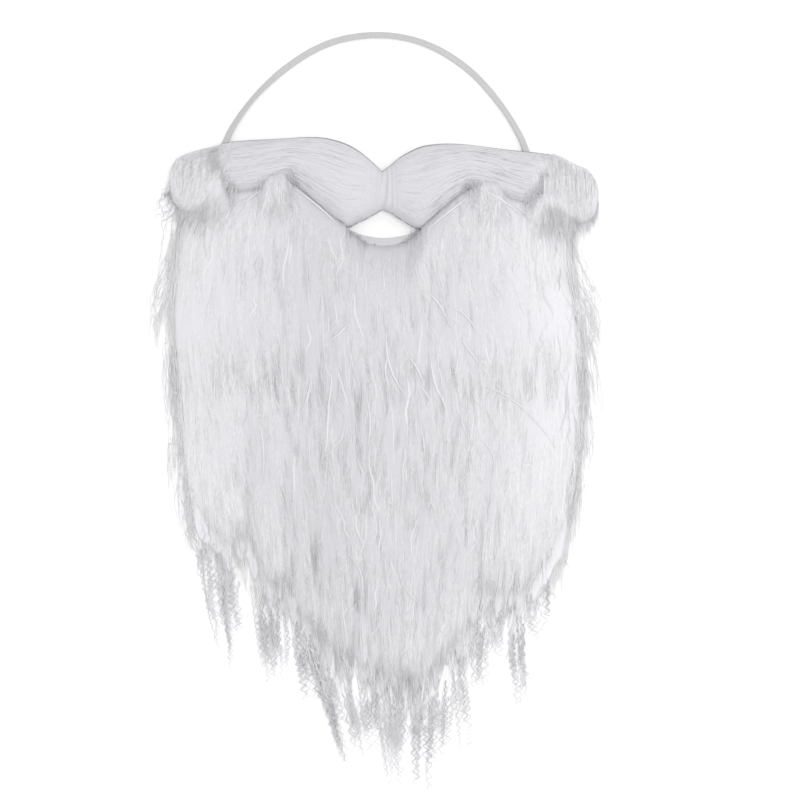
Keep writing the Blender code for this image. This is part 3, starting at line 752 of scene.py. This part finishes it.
hair_mass, tree, shader = new_material("hair_mass", 0.7, 0.2)
streaks = stretched_noise(tree, (120, 7), 3)
tint = ramp(tree, streaks, [(0.3, (0.700, 0.695, 0.726)), (0.7, (0.724, 0.719, 0.752))])
mass_tone_across = ramp(tree, own_across(tree), [(place, (share, share, share)) for place, share in MASS_TONE_ACROSS])
tree.links.new(multiplied(tree, tint, mass_tone_across), shader.inputs["Base Color"])
raise_surface(tree, shader, streaks, STREAK_RELIEF, 0.15)
hair_ground.data.materials.append(hair_mass)

LAYERS = {      # locks, hairs in a lock, points, highest and lowest root, length, width, lift, wave, lean
    "hair_seam": (170, 15, 6, 1.07, 0.97, (0.030, 0.060), (0.006, 0.012), (0.0, 0.0001), 0.0007, 0.0020),
    "hair_upper": (240, 22, 6, 1.04, 0.50, (0.060, 0.120), (0.006, 0.016), (0.0, 0.0001), 0.0010, 0.0040),
    "hair_lower": (240, 23, 6, 0.58, 0.06, (0.050, 0.110), (0.006, 0.016), (0.0, 0.0001), 0.0012, 0.0045),
}
HAIR_RADIUS = 0.00012

draw = np.random.default_rng(20)
falls = []
for name, layer in LAYERS.items():
    paths, shade = lock_hairs(draw, *layer)
    falls.append(hair_mesh(name, paths, HAIR_RADIUS * draw.uniform(0.8, 1.6, len(paths)), shade, 3, 0.2))

# Strands: a few fine hairs that cling together, most in the middle.
STRANDS = 380
STRAND_SHADE = 0.12
place = np.clip(draw.normal(0.56, 0.23, STRANDS), 0.03, 0.97)
high, low = ends_of_column(place)
t = np.linspace(0, 1, 10)[None]
root = low + (high - low) * draw.uniform(0.06, 1.0, STRANDS)
y = root[:, None] - draw.uniform(0.012, 0.045, (STRANDS, 1)) * t
x = fall_x(place[:, None], y) + draw.normal(0, 0.0045, (STRANDS, 1)) * t ** 1.3
x = x + waves(draw, STRANDS, 10, 0.0012, 1.7)
z = fall_height(x, y) + draw.uniform(0.0, 0.0002, (STRANDS, 1)) * np.sin(math.pi * t) ** 0.7 - 0.0001
radius = draw.uniform(0.0004, 0.0009, STRANDS)
shade = np.clip(STRAND_SHADE + draw.normal(0, 0.06, STRANDS), 0, 1)
falls.append(hair_mesh("hair_strands", np.stack([x, y, z], -1), radius, shade, 6, 0.3, True))

# Strands that have slipped across the others, each where the beard shows it.
CROSSING_STRANDS = np.array([           # start, bend and end, x and y each
    (0.0426, 0.0954, 0.0560, 0.0915, 0.0618, 0.0750),
    (0.0504, 0.0768, 0.0540, 0.0690, 0.0636, 0.0594),
    (0.0066, 0.0800, 0.0040, 0.0580, 0.0204, 0.0390),
    (0.0174, 0.0672, 0.0270, 0.0580, 0.0300, 0.0432),
    (-0.0162, 0.0850, -0.0200, 0.0790, -0.0280, 0.0740),
    (-0.0258, 0.0570, -0.0258, 0.0440, -0.0290, 0.0318),
    (-0.0384, 0.0520, -0.0390, 0.0430, -0.0428, 0.0354),
    (-0.0066, 0.0444, 0.0000, 0.0276, -0.0060, 0.0066),
    (0.0504, 0.0312, 0.0510, 0.0240, 0.0552, 0.0168),
    (0.0618, 0.0160, 0.0740, 0.0080, 0.0690, -0.0066),
    (0.0270, 0.0220, 0.0290, 0.0150, 0.0288, 0.0060),
    (-0.0180, -0.0500, -0.0020, -0.0640, -0.0114, -0.0846),
    (0.0168, -0.0700, 0.0200, -0.0770, 0.0275, -0.0830),
    (0.0564, 0.0504, 0.0870, 0.0440, 0.1080, 0.0096),
    (0.0300, 0.1040, 0.0400, 0.0960, 0.0440, 0.0820),
    (-0.0700, 0.0300, -0.0640, 0.0100, -0.0680, -0.0120),
    (-0.0498, 0.1668, -0.0345, 0.1566, -0.0204, 0.1416),
    (0.0564, 0.1614, 0.0432, 0.1515, 0.0300, 0.1404),
    (-0.0684, 0.1644, -0.0725, 0.1620, -0.0786, 0.1566),
    (0.0648, 0.1632, 0.0780, 0.1580, 0.0876, 0.1488),
    (0.0696, 0.1626, 0.0745, 0.1600, 0.0786, 0.1554),
])
runs = CROSSING_STRANDS.reshape(-1, 3, 2)
t = np.linspace(0, 1, 16)[:, None]
flat = (1 - t) ** 2 * runs[:, None, 0] + 2 * t * (1 - t) * runs[:, None, 1] + t ** 2 * runs[:, None, 2]
z = fall_height(flat[..., 0], flat[..., 1]) + 0.0002 + 0.0004 * np.sin(math.pi * t[:, 0])[None]
paths = np.concatenate([flat, z[..., None]], -1)
radius = draw.uniform(0.0005, 0.0008, len(runs))
falls.append(hair_mesh("hair_crossing", paths, radius, np.full(len(runs), 0.20), 6, 0.4, True))

# Wisps: sparse kinky hairs that hang past the dense hair at the hem, and smoother ones at the sides.
HEM_WISPS = np.array([                  # root, bend and tip (x, y each), width, hairs
    (-0.100, -0.042, -0.097, -0.078, -0.0900, -0.1100, 0.016, 34),
    (-0.092, -0.060, -0.090, -0.096, -0.0855, -0.1260, 0.004, 16),
    (-0.107, -0.032, -0.105, -0.056, -0.0990, -0.0760, 0.010, 22),
    (-0.088, -0.050, -0.088, -0.078, -0.0850, -0.1000, 0.010, 22),
    (-0.065, -0.072, -0.063, -0.104, -0.0590, -0.1300, 0.018, 56),
    (-0.061, -0.090, -0.060, -0.114, -0.0560, -0.1400, 0.004, 16),
    (-0.047, -0.096, -0.043, -0.120, -0.0390, -0.1430, 0.009, 26),
    (-0.042, -0.104, -0.029, -0.140, -0.0175, -0.1800, 0.0045, 84),
    (-0.028, -0.118, -0.024, -0.136, -0.0200, -0.1560, 0.018, 50),
    (-0.012, -0.128, -0.008, -0.152, -0.0040, -0.1780, 0.018, 60),
    (0.006, -0.134, 0.0090, -0.160, 0.0120, -0.1950, 0.014, 50),
    (0.018, -0.136, 0.0190, -0.154, 0.0180, -0.1740, 0.018, 40),
    (0.029, -0.138, 0.0290, -0.164, 0.0290, -0.1970, 0.012, 38),
    (0.038, -0.128, 0.0370, -0.150, 0.0370, -0.1740, 0.016, 34),
    (0.048, -0.116, 0.0510, -0.142, 0.0530, -0.1720, 0.009, 26),
    (0.056, -0.100, 0.0560, -0.118, 0.0550, -0.1340, 0.008, 16),
    (0.065, -0.086, 0.0650, -0.110, 0.0640, -0.1360, 0.009, 30),
    (0.074, -0.086, 0.0730, -0.100, 0.0740, -0.1150, 0.009, 20),
    (0.084, -0.088, 0.0850, -0.116, 0.0870, -0.1480, 0.009, 38),
    (0.094, -0.080, 0.0940, -0.094, 0.0960, -0.1060, 0.008, 18),
    (0.103, -0.068, 0.1030, -0.080, 0.1040, -0.0920, 0.007, 10),
])
SIDE_WISPS = np.array([                 # the same, down both sides
    (-0.120, 0.150, -0.1270, 0.122, -0.1300, 0.1000, 0.009, 18),
    (-0.122, 0.122, -0.1330, 0.100, -0.1355, 0.0850, 0.010, 24),
    (-0.124, 0.104, -0.1330, 0.086, -0.1300, 0.0640, 0.011, 26),
    (-0.122, 0.070, -0.1250, 0.040, -0.1220, 0.0180, 0.009, 26),
    (-0.119, 0.024, -0.1220, -0.002, -0.1200, -0.0240, 0.009, 24),
    (-0.115, -0.004, -0.1150, -0.030, -0.1090, -0.0550, 0.009, 30),
    (0.116, 0.142, 0.1220, 0.126, 0.1280, 0.1060, 0.007, 12),
    (0.120, 0.120, 0.1300, 0.100, 0.1350, 0.0850, 0.012, 28),
    (0.124, 0.096, 0.1320, 0.076, 0.1320, 0.0600, 0.012, 32),
    (0.123, 0.072, 0.1300, 0.042, 0.1300, 0.0200, 0.012, 32),
    (0.123, 0.034, 0.1270, 0.010, 0.1240, -0.0120, 0.011, 28),
    (0.120, 0.002, 0.1200, -0.028, 0.1180, -0.0480, 0.010, 24),
])

CORNER_CURLS = np.array([               # short curled ends that stick out below the tufts
    (-0.116, 0.168, -0.1290, 0.161, -0.1330, 0.1470, 0.008, 12),
    (-0.118, 0.156, -0.1290, 0.150, -0.1300, 0.1360, 0.006, 8),
    (0.122, 0.164, 0.1310, 0.158, 0.1340, 0.1450, 0.006, 7),
    (0.117, 0.152, 0.1250, 0.144, 0.1260, 0.1330, 0.006, 6),
])


def wisp_hairs(draw, wisps, points, kink, kink_length, tint, share, closing):
    """Hairs of the wisps: the curve (1-t)^2 root + 2t(1-t) bend + t^2 tip, moved sideways by the
    hair's own offset, which closes in by closing * t^1.5, and kinked by a short sine of growing
    size."""
    own = np.repeat(np.arange(len(wisps)), (wisps[:, 7] * share).astype(int))
    count = len(own)
    begin = draw.uniform(-0.12, 0.40, (count, 1))
    end = np.maximum(1 - 0.75 * draw.random((count, 1)) ** 1.3, begin + 0.35)
    step = np.linspace(0, 1, points)[None]
    along = begin + step * (end - begin)
    root, bend, tip = wisps[own, 0:2], wisps[own, 2:4], wisps[own, 4:6]
    s = along[..., None]
    flat = (1 - s) ** 2 * root[:, None] + 2 * s * (1 - s) * bend[:, None] + s ** 2 * tip[:, None]
    run = unit(tip - root)
    side = np.stack([-run[:, 1], run[:, 0]], -1)
    offset = draw.uniform(-1.2, 1.2, count) * wisps[own, 6] / 2
    length = np.linalg.norm(tip - root, axis=1)
    cycles = along * length[:, None] / kink_length * draw.uniform(0.7, 1.3, (count, 1))
    kinks = kink * (0.3 + 0.9 * np.maximum(along, 0)) * draw.uniform(0.4, 1.6, (count, 1)) * np.sin(
        2 * math.pi * (cycles + draw.random((count, 1)) + 0.3 * np.sin(cycles)))
    sway = waves(draw, count, points, 0.0012, 1.0)
    spread = offset[:, None] * (1 - closing * np.maximum(along, 0) ** 1.5) + kinks + sway
    flat = flat + side[:, None] * spread[..., None]
    layer = draw.random(count)[:, None]
    rooted = -0.0015 * np.exp(-step / 0.15)
    z = np.maximum(fall_height(flat[..., 0], flat[..., 1]) + rooted, 0.0002) + 0.0002 + 0.0009 * layer
    shade = np.clip(tint + draw.normal(0, 0.2, count), 0, 1)
    return np.stack([flat[..., 0], flat[..., 1], z], -1), shade


WISPS = {       # rows, points, kink and its length, mean shade, share of the hairs, closing, radius
    "hem_wisps": (HEM_WISPS, 40, 0.00125, 0.0046, 0.36, 0.52, 0.35, 0.00030),
    "side_wisps": (SIDE_WISPS, 14, 0.00045, 0.0100, 0.85, 1.0, 0.6, 0.00015),
    "corner_curls": (CORNER_CURLS, 22, 0.00090, 0.0045, 0.45, 1.0, 0.6, 0.00020),
}
for name, (*form, radius) in WISPS.items():
    paths, shade = wisp_hairs(draw, *form)
    falls.append(hair_mesh(name, paths, radius * draw.uniform(0.7, 1.4, len(paths)), shade))

for item in falls:
    item.data.materials.append(white_hair)
    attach(item, "root")
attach(hair_ground, "root")
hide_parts("beard")

# THE MOUSTACHE
# One strip of combed hair cloth folded round a soft filling, pinched in the middle with thread so
# that it stands in two lobes. Its upper edge is a tight fold, whose shade is painted as a dark line
# along it, the crease along its lower edge has painted shade in dashes, and both ends run into the
# tufts.
STRIP_EDGE = 0.0022                     # height of its edges
STRIP_SQUARENESS = 2.6
STRIP_SECTIONS = 330
STRIP_SIDES = 56                        # points of a section's face
STRIP_HAIRS = 2200
PINCH = 0.0036
PINCH_SPAN = 0.0075
PINCH_FOLDS = 0.0031                    # from one fold to the next
PINCH_BARE = 0.0060                     # no hair starts nearer to the pinch
FOLD_DEPTH = 0.0007
PAINTED_FOLD_SHADE = (0.32, 0.31, 0.30)         # painted shade of the upper edge's fold: a dark line along it
PAINTED_CREASE_SHADE = (0.48, 0.48, 0.49)         # painted shade in the crease along the lower edge, broken into dashes
PLAIN = (1.0, 1.0, 1.0)
NONE = (0.0, 0.0, 0.0)


def strip_point(x, v):
    """The strip's face: v goes from 0 at the lower edge over the crown to 1 at the upper edge. Across
    is -cos(pi v)^(2/s) of the half width, the height sin(pi v)^(2/s) of the row's, with folds that
    run across it at the pinch."""
    top, bottom, height = (strip_column(x, column) for column in (1, 2, 3))
    power = 2 / STRIP_SQUARENESS
    across = -np.sign(np.cos(math.pi * v)) * np.abs(np.cos(math.pi * v)) ** power
    crown = np.abs(np.sin(math.pi * v)) ** power
    pinched = np.exp(-((x - PINCH) / PINCH_SPAN) ** 2)
    folds = pinched * np.cos(2 * math.pi * (x - PINCH) / PINCH_FOLDS + 2.2 * np.sin(4 * v + 300 * x))
    soft = 0.00035 * np.sin(95 * x + 9 * v) * np.sin(math.pi * v) + 0.00015 * np.sin(230 * x - 14 * v)
    y = (top + bottom) / 2 + across * (top - bottom) / 2
    z = STRIP_EDGE + (height - STRIP_EDGE) * crown + (FOLD_DEPTH * folds + soft) * crown
    return np.stack([x + 0 * y, y, z], -1)


def strip_rings(count, sides):
    """Closed sections: the face, then back under the strip above the cloth."""
    x = np.concatenate([np.linspace(STRIP_LEFT, PINCH, count // 2, endpoint=False),
                        np.linspace(PINCH, STRIP_RIGHT, count - count // 2)])[:, None]
    v = np.linspace(0, 1, sides)[None]
    face = strip_point(np.broadcast_to(x, (count, sides)), np.broadcast_to(v, (count, sides)))
    top, bottom = strip_column(x[:, 0], 1), strip_column(x[:, 0], 2)
    under = []
    for share, z in ((0.0, 0.0004), (0.11, 0.0004), (0.12, 0.0017), (0.90, 0.0017)):
        under.append(np.stack([x[:, 0], top + (bottom - top) * share, np.full(count, z)], -1))
    return np.concatenate([face, np.stack(under, 1)], 1)


strip = closed_tube("moustache_strip", strip_rings(STRIP_SECTIONS, STRIP_SIDES))

combed_strip, tree, shader = new_material("combed_strip", 0.7, 0.2)
streaks = stretched_noise(tree, (90, 22), 4)
tint = ramp(tree, streaks, [(0.25, (0.640, 0.636, 0.664)), (0.75, (0.680, 0.676, 0.706))])
across = own_across(tree)
# Painted shade: a dark line along the fold of the upper edge, and painted shade in dashes in the crease
# along the lower edge, both multiplied into the strip's colour.
painted_fold_line = ramp(tree, across, [(0.805, PLAIN), (0.85, PAINTED_FOLD_SHADE), (0.88, PAINTED_FOLD_SHADE), (0.91, PLAIN)])
painted_crease_shade = ramp(tree, across, [(0.045, PAINTED_CREASE_SHADE), (0.085, PLAIN)])
broken = ramp(tree, stretched_noise(tree, (2, 70), 2), [(0.40, NONE), (0.56, PLAIN)])
painted_edge_shade = multiplied(tree, painted_fold_line, painted_crease_shade, broken)
tree.links.new(multiplied(tree, tint, painted_edge_shade), shader.inputs["Base Color"])
raise_surface(tree, shader, streaks, STREAK_RELIEF, 0.5)
strip.data.materials.append(combed_strip)


def strip_hairs(draw, count, points):
    """Short hairs combed along the strip, away from the pinch, close to its face."""
    t = np.linspace(0, 1, points)[None]
    start = draw.uniform(STRIP_LEFT + 0.002, STRIP_RIGHT - 0.002, count)
    outwards = np.where(start < PINCH, -1.0, 1.0)
    start = PINCH + outwards * np.maximum(np.abs(start - PINCH), PINCH_BARE)
    length = draw.uniform(0.012, 0.034, count)
    x = start[:, None] + outwards[:, None] * length[:, None] * t
    x = np.clip(x, STRIP_LEFT + 0.0005, STRIP_RIGHT - 0.0005)
    v = draw.uniform(0.08, 0.86, count)[:, None] - draw.uniform(-0.01, 0.04, count)[:, None] * t
    v = np.clip(v + waves(draw, count, points, 0.006, 1.0), 0.03, 0.88)
    paths = strip_point(x, v)
    paths[..., 2] += draw.uniform(-0.0001, 0.0001, count)[:, None] - 0.0006 * np.exp(-t / 0.08)
    return paths, np.clip(0.19 + draw.normal(0, 0.09, count), 0, 1)


paths, shade = strip_hairs(draw, STRIP_HAIRS, 6)
strip_hair = hair_mesh("moustache_hair", paths, 0.00015 * draw.uniform(0.7, 1.3, len(paths)), shade)

# Hairs from the strip's lower edge that cross the seam on both outer sides and hide it.
BRIDGES = (                             # from x, to x, hairs, sideways run, how far up the face
    (-0.0980, -0.0840, 160, -0.006, 0.42),
    (-0.0680, -0.0505, 150, 0.002, 0.40),
    (0.0585, 0.0760, 150, 0.001, 0.38),
    (0.0900, 0.1050, 160, 0.003, 0.42),
    (-0.0840, -0.0680, 20, -0.010, 0.14),
    (0.0760, 0.0900, 20, 0.010, 0.14),
)


def bridge_hairs(draw, bridges, points):
    """Hairs that start on the strip's face at v up to a bridge's share, bow over its edge and come
    down on the fall: z is the higher of the fall's face and the chord from the root to the fall at the
    tip."""
    own = np.repeat(np.arange(len(bridges)), bridges[:, 2].astype(int))
    count = len(own)
    t = np.linspace(0, 1, points)[None]
    x0 = draw.uniform(bridges[own, 0] - 0.002, bridges[own, 1] + 0.002)
    x0 = np.clip(x0, STRIP_LEFT + 0.0006, STRIP_RIGHT - 0.0006)
    root = strip_point(x0, draw.uniform(0.05, 1.0, count) * bridges[own, 4])
    run = bridges[own, 3] + draw.normal(0, 0.004, count)
    x = root[:, None, 0] + run[:, None] * t ** 1.2 + waves(draw, count, points, 0.0009, 1.2)
    y = root[:, None, 1] - draw.uniform(0.010, 0.026, (count, 1)) * t
    on_fall = np.where(y < seam_level(x), fall_height(x, y), 0)
    straight = root[:, None, 2] + (fall_height(x, y)[:, -1:] - root[:, None, 2]) * t
    z = np.maximum(on_fall, straight) + 0.0002 - 0.0005 * np.exp(-t / 0.1)
    return np.stack([x, y, z], -1), np.clip(0.75 + draw.normal(0, 0.16, count), 0, 1)


paths, shade = bridge_hairs(draw, np.array(BRIDGES), 9)
bridge_hair = hair_mesh("seam_hair", paths, 0.00013 * draw.uniform(0.7, 1.3, len(paths)), shade)
for item in (strip_hair, bridge_hair):
    item.data.materials.append(white_hair)
for item in (strip, strip_hair, bridge_hair):
    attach(item, "root")
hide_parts("moustache")

# THE TUFTS
# The ends of the strip, gathered and fluffed out into a rounded tab on each side. Their hair lies
# from the upper edge down over the corner of the beard, with short kinks towards the ends.
TUFTS = {                               # where the gather is, which way out, and out, top, bottom, height
    "left": (-0.0975, -1, 0.36, np.array([
        (-0.0080, 0.1915, 0.1640, 0.0096),
        (0.0000, 0.1911, 0.1600, 0.0104),
        (0.0055, 0.1902, 0.1560, 0.0108),
        (0.0135, 0.1884, 0.1530, 0.0106),
        (0.0198, 0.1856, 0.1540, 0.0094),
        (0.0240, 0.1812, 0.1590, 0.0070),
        (0.0262, 0.1768, 0.1660, 0.0040),
    ])),
    "right": (0.1059, 1, 0.06, np.array([
        (-0.0060, 0.1871, 0.1580, 0.0094),
        (0.0010, 0.1872, 0.1550, 0.0104),
        (0.0060, 0.1852, 0.1510, 0.0110),
        (0.0135, 0.1812, 0.1470, 0.0108),
        (0.0208, 0.1780, 0.1470, 0.0096),
        (0.0254, 0.1722, 0.1510, 0.0072),
        (0.0272, 0.1676, 0.1580, 0.0040),
    ])),
}
TUFT_FOLD_DEPTH = 0.0004
TUFT_EDGE = 0.0016                      # least height of a tab's edges
TUFT_GRID = 60                          # points along and across a tab's face
TUFT_HAIRS = 1000
GATHER_HAIRS = 420                      # over the joint of the strip and a tab
SIDE_RUN = {-1: (0.006, 0.028), 1: (0.001, 0.014)}      # of those hairs, left and right
DOWN_RUN = {-1: (0.006, 0.034), 1: (0.006, 0.036)}


def tuft_point(start, direction, fine, u, v):
    """A tab's face: u from the gather to the rim, v across as on the strip, with folds down it. Its
    lower edge starts from the fall's own height, so the tab swells out of the hair."""
    rows = np.linspace(0, 1, len(fine))
    out, top, bottom, height = (np.interp(u, rows, fine[:, column]) for column in range(4))
    across = -np.cos(math.pi * v)
    crown = np.abs(np.sin(math.pi * v)) ** np.where(v < 0.5, 3.4, 0.9)
    folds = np.cos(2 * math.pi * 9 * u + 2 * v) + 0.6 * np.cos(2 * math.pi * 16 * u - 3 * v)
    x = start + direction * out + 0 * across
    y = (top + bottom) / 2 + across * (top - bottom) / 2
    resting = np.maximum(fall_height(x, np.minimum(y, seam_level(x))) - 0.0004, TUFT_EDGE)
    edge = np.where(v < 0.5, resting, TUFT_EDGE)
    z = edge + (np.maximum(height, edge) - edge) * crown + TUFT_FOLD_DEPTH * folds * crown
    return np.stack([x, y, z], -1)


def tuft_hairs(draw, start, direction, slant, fine, count, points):
    """Hairs from the upper edge down over the tab, outwards by the slant on the way, and past its
    lower edge on to the fall with short kinks."""
    t = np.linspace(0, 1, points)[None]
    from_gather = draw.uniform(-0.02, 1.0, (count, 1))
    gathered = np.exp(-((from_gather - 0.22) / 0.09) ** 2)
    u = from_gather + slant * draw.uniform(0.6, 1.4, (count, 1)) * (t ** 1.1 - 0.3)
    u = u + waves(draw, count, points, 0.012, 1.2) * (1 + 2 * gathered)
    begin = draw.uniform(0.25, 0.96, count)[:, None]
    past = draw.random((count, 1)) ** 4 * (1 - 0.9 * np.clip(from_gather, 0, 1) ** 2)
    v = begin - (begin + 0.42 * past) * t
    paths = tuft_point(start, direction, fine, np.clip(u, 0, 1), np.clip(v, 0.02, 0.97))
    beyond = np.maximum(u - 1, 0)
    under = np.maximum(0.02 - v, 0)
    paths[..., 0] += direction * beyond * 0.012
    paths[..., 1] -= under * 0.050 + beyond * 0.012
    resting = np.maximum(fall_height(paths[..., 0], paths[..., 1]), 0.0006)
    settled = np.maximum(resting, paths[..., 2] * np.exp(-under / 0.15))
    paths[..., 2] = np.where(under > 0, settled, paths[..., 2])
    paths[..., 2] += draw.uniform(0.0001, 0.0005, count)[:, None]
    kink = 0.0005 * np.sin(2 * math.pi * (t * draw.uniform(3, 5, (count, 1)) + draw.random((count, 1))))
    paths[..., 0] += kink * np.clip(t - 0.55, 0, 1) * 2.2
    # Hairs near the gather get a darker shade: painted shade of the gathered creases.
    return paths, np.clip(0.72 - 0.30 * gathered[:, 0] + draw.normal(0, 0.13, count), 0, 1)


def above_strip(x, y):
    """The strip's height at x and y, its section solved for v, and 0 outside its edges."""
    top, bottom, height = (strip_column(x, column) for column in (1, 2, 3))
    across = np.clip((2 * y - top - bottom) / (top - bottom), -1, 1)
    crown = np.sqrt(1 - np.abs(across) ** STRIP_SQUARENESS) ** (2 / STRIP_SQUARENESS)
    inside = (x > STRIP_LEFT) & (x < STRIP_RIGHT)
    return np.where(inside, STRIP_EDGE + (height - STRIP_EDGE) * crown, 0)


def above_tuft(start, direction, fine, x, y):
    """The tab's height at x and y, found from its rows and the inverse of its section."""
    out = (x - start) * direction
    u = np.interp(out, fine[:, 0], np.linspace(0, 1, len(fine)))
    top, bottom = (np.interp(out, fine[:, 0], fine[:, column]) for column in (1, 2))
    across = np.clip((2 * y - top - bottom) / (top - bottom), -1, 1)
    face = tuft_point(start, direction, fine, u, np.arccos(-across) / math.pi)
    return np.where(out > fine[0, 0], face[..., 2], 0)


def gather_hairs(draw, start, direction, fine, count, points):
    """Hairs that run from the strip's face out over its end and down over the tab on to the fall,
    and hide the joints: z is the highest of the three faces and the chord from root to tip."""
    t = np.linspace(0, 1, points)[None]
    root_x = start + direction * draw.uniform(-0.014, 0.004, count)
    v = draw.uniform(0.10, 0.93, count)
    root = strip_point(np.clip(root_x, STRIP_LEFT, STRIP_RIGHT), v)
    x = root_x[:, None] + direction * draw.uniform(*SIDE_RUN[direction], (count, 1)) * t
    y = root[:, None, 1] - draw.uniform(*DOWN_RUN[direction], (count, 1)) * t ** 1.4
    y = y + waves(draw, count, points, 0.0006, 1.6)
    x = x + waves(draw, count, points, 0.0007, 1.6)
    z = np.maximum(above_strip(x, y), above_tuft(start, direction, fine, x, y))
    z = np.maximum(z, np.where(y < seam_level(x), fall_height(x, y), 0))
    z = np.maximum(z, z[:, :1] + (z[:, -1:] - z[:, :1]) * t)
    z = z + draw.uniform(0.0001, 0.0004, (count, 1)) - 0.0006 * np.exp(-t / 0.08)
    return np.stack([x, y, z], -1), np.clip(0.66 + draw.normal(0, 0.17, count), 0, 1)


tuft_mass, tree, shader = new_material("tuft_mass", 0.7, 0.2)
streaks = stretched_noise(tree, (12, 60), 3)
tint = ramp(tree, streaks, [(0.3, (0.740, 0.735, 0.764)), (0.7, (0.775, 0.770, 0.800))])
tree.links.new(tint, shader.inputs["Base Color"])
raise_surface(tree, shader, streaks, STREAK_RELIEF, 0.15)

for side, (start, direction, slant, rows) in TUFTS.items():
    fine = smooth_through(rows, TUFT_GRID)
    grid = np.linspace(0, 1, TUFT_GRID)
    u, v = np.meshgrid(grid, grid, indexing="ij")
    face = tuft_point(start, direction, fine, u, v)
    under = face[:, ::-10][:, 1:-1].copy()
    under[..., 2] = 0.0003
    tab = closed_tube(f"tuft_{side}", np.concatenate([face, under], 1))
    tab.data.materials.append(tuft_mass)
    paths, shade = tuft_hairs(draw, start, direction, slant, fine, TUFT_HAIRS, 9)
    across_joint, joint_shade = gather_hairs(draw, start, direction, fine, GATHER_HAIRS, 9)
    paths, shade = np.concatenate([paths, across_joint]), np.concatenate([shade, joint_shade])
    fluff = hair_mesh(f"tuft_{side}_hair", paths, 0.00013 * draw.uniform(0.7, 1.3, len(paths)), shade)
    fluff.data.materials.append(white_hair)
    for item in (tab, fluff):
        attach(item, "root")
    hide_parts(f"side_tuft_{side}")

# THE SURFACE AND THE LIGHT
# A plain white table under a large soft light from above and a weaker one from the right.
FLOOR_SIZE = 6.0
floor_mesh = bpy.data.meshes.new("floor")
half = FLOOR_SIZE / 2
corners = [(-half, -half, 0), (half, -half, 0), (half, half, 0), (-half, half, 0)]
floor_mesh.from_pydata(corners, [], [(0, 1, 2, 3)])
floor = bpy.data.objects.new("floor", floor_mesh)
bpy.context.scene.collection.objects.link(floor)
paper, tree, shader = new_material("white_table", 0.9, 0.1)
shader.inputs["Base Color"].default_value = (0.97, 0.97, 0.97, 1.0)
floor_mesh.materials.append(paper)

sky = bpy.data.worlds.new("studio")
sky.use_nodes = True
sky.node_tree.nodes["Background"].inputs["Color"].default_value = (1.0, 1.0, 1.0, 1.0)
sky.node_tree.nodes["Background"].inputs["Strength"].default_value = 0.80
bpy.context.scene.world = sky


def soft_light(name, place, size, power):
    """A square area light that faces the middle of the beard."""
    light = bpy.data.lights.new(name, "AREA")
    light.size = size
    light.energy = power
    item = bpy.data.objects.new(name, light)
    item.location = place
    item.rotation_mode = "QUATERNION"
    item.rotation_quaternion = (Vector((0, 0.03, 0)) - Vector(place)).to_track_quat("-Z", "Y")
    bpy.context.scene.collection.objects.link(item)


soft_light("key", (0.25, 0.20, 1.5), 0.9, 8.2)
soft_light("fill", (1.1, 0.0, 1.0), 1.2, 1.2)

bpy.context.scene.view_settings.view_transform = "Standard"
bpy.context.scene.view_settings.look = "None"
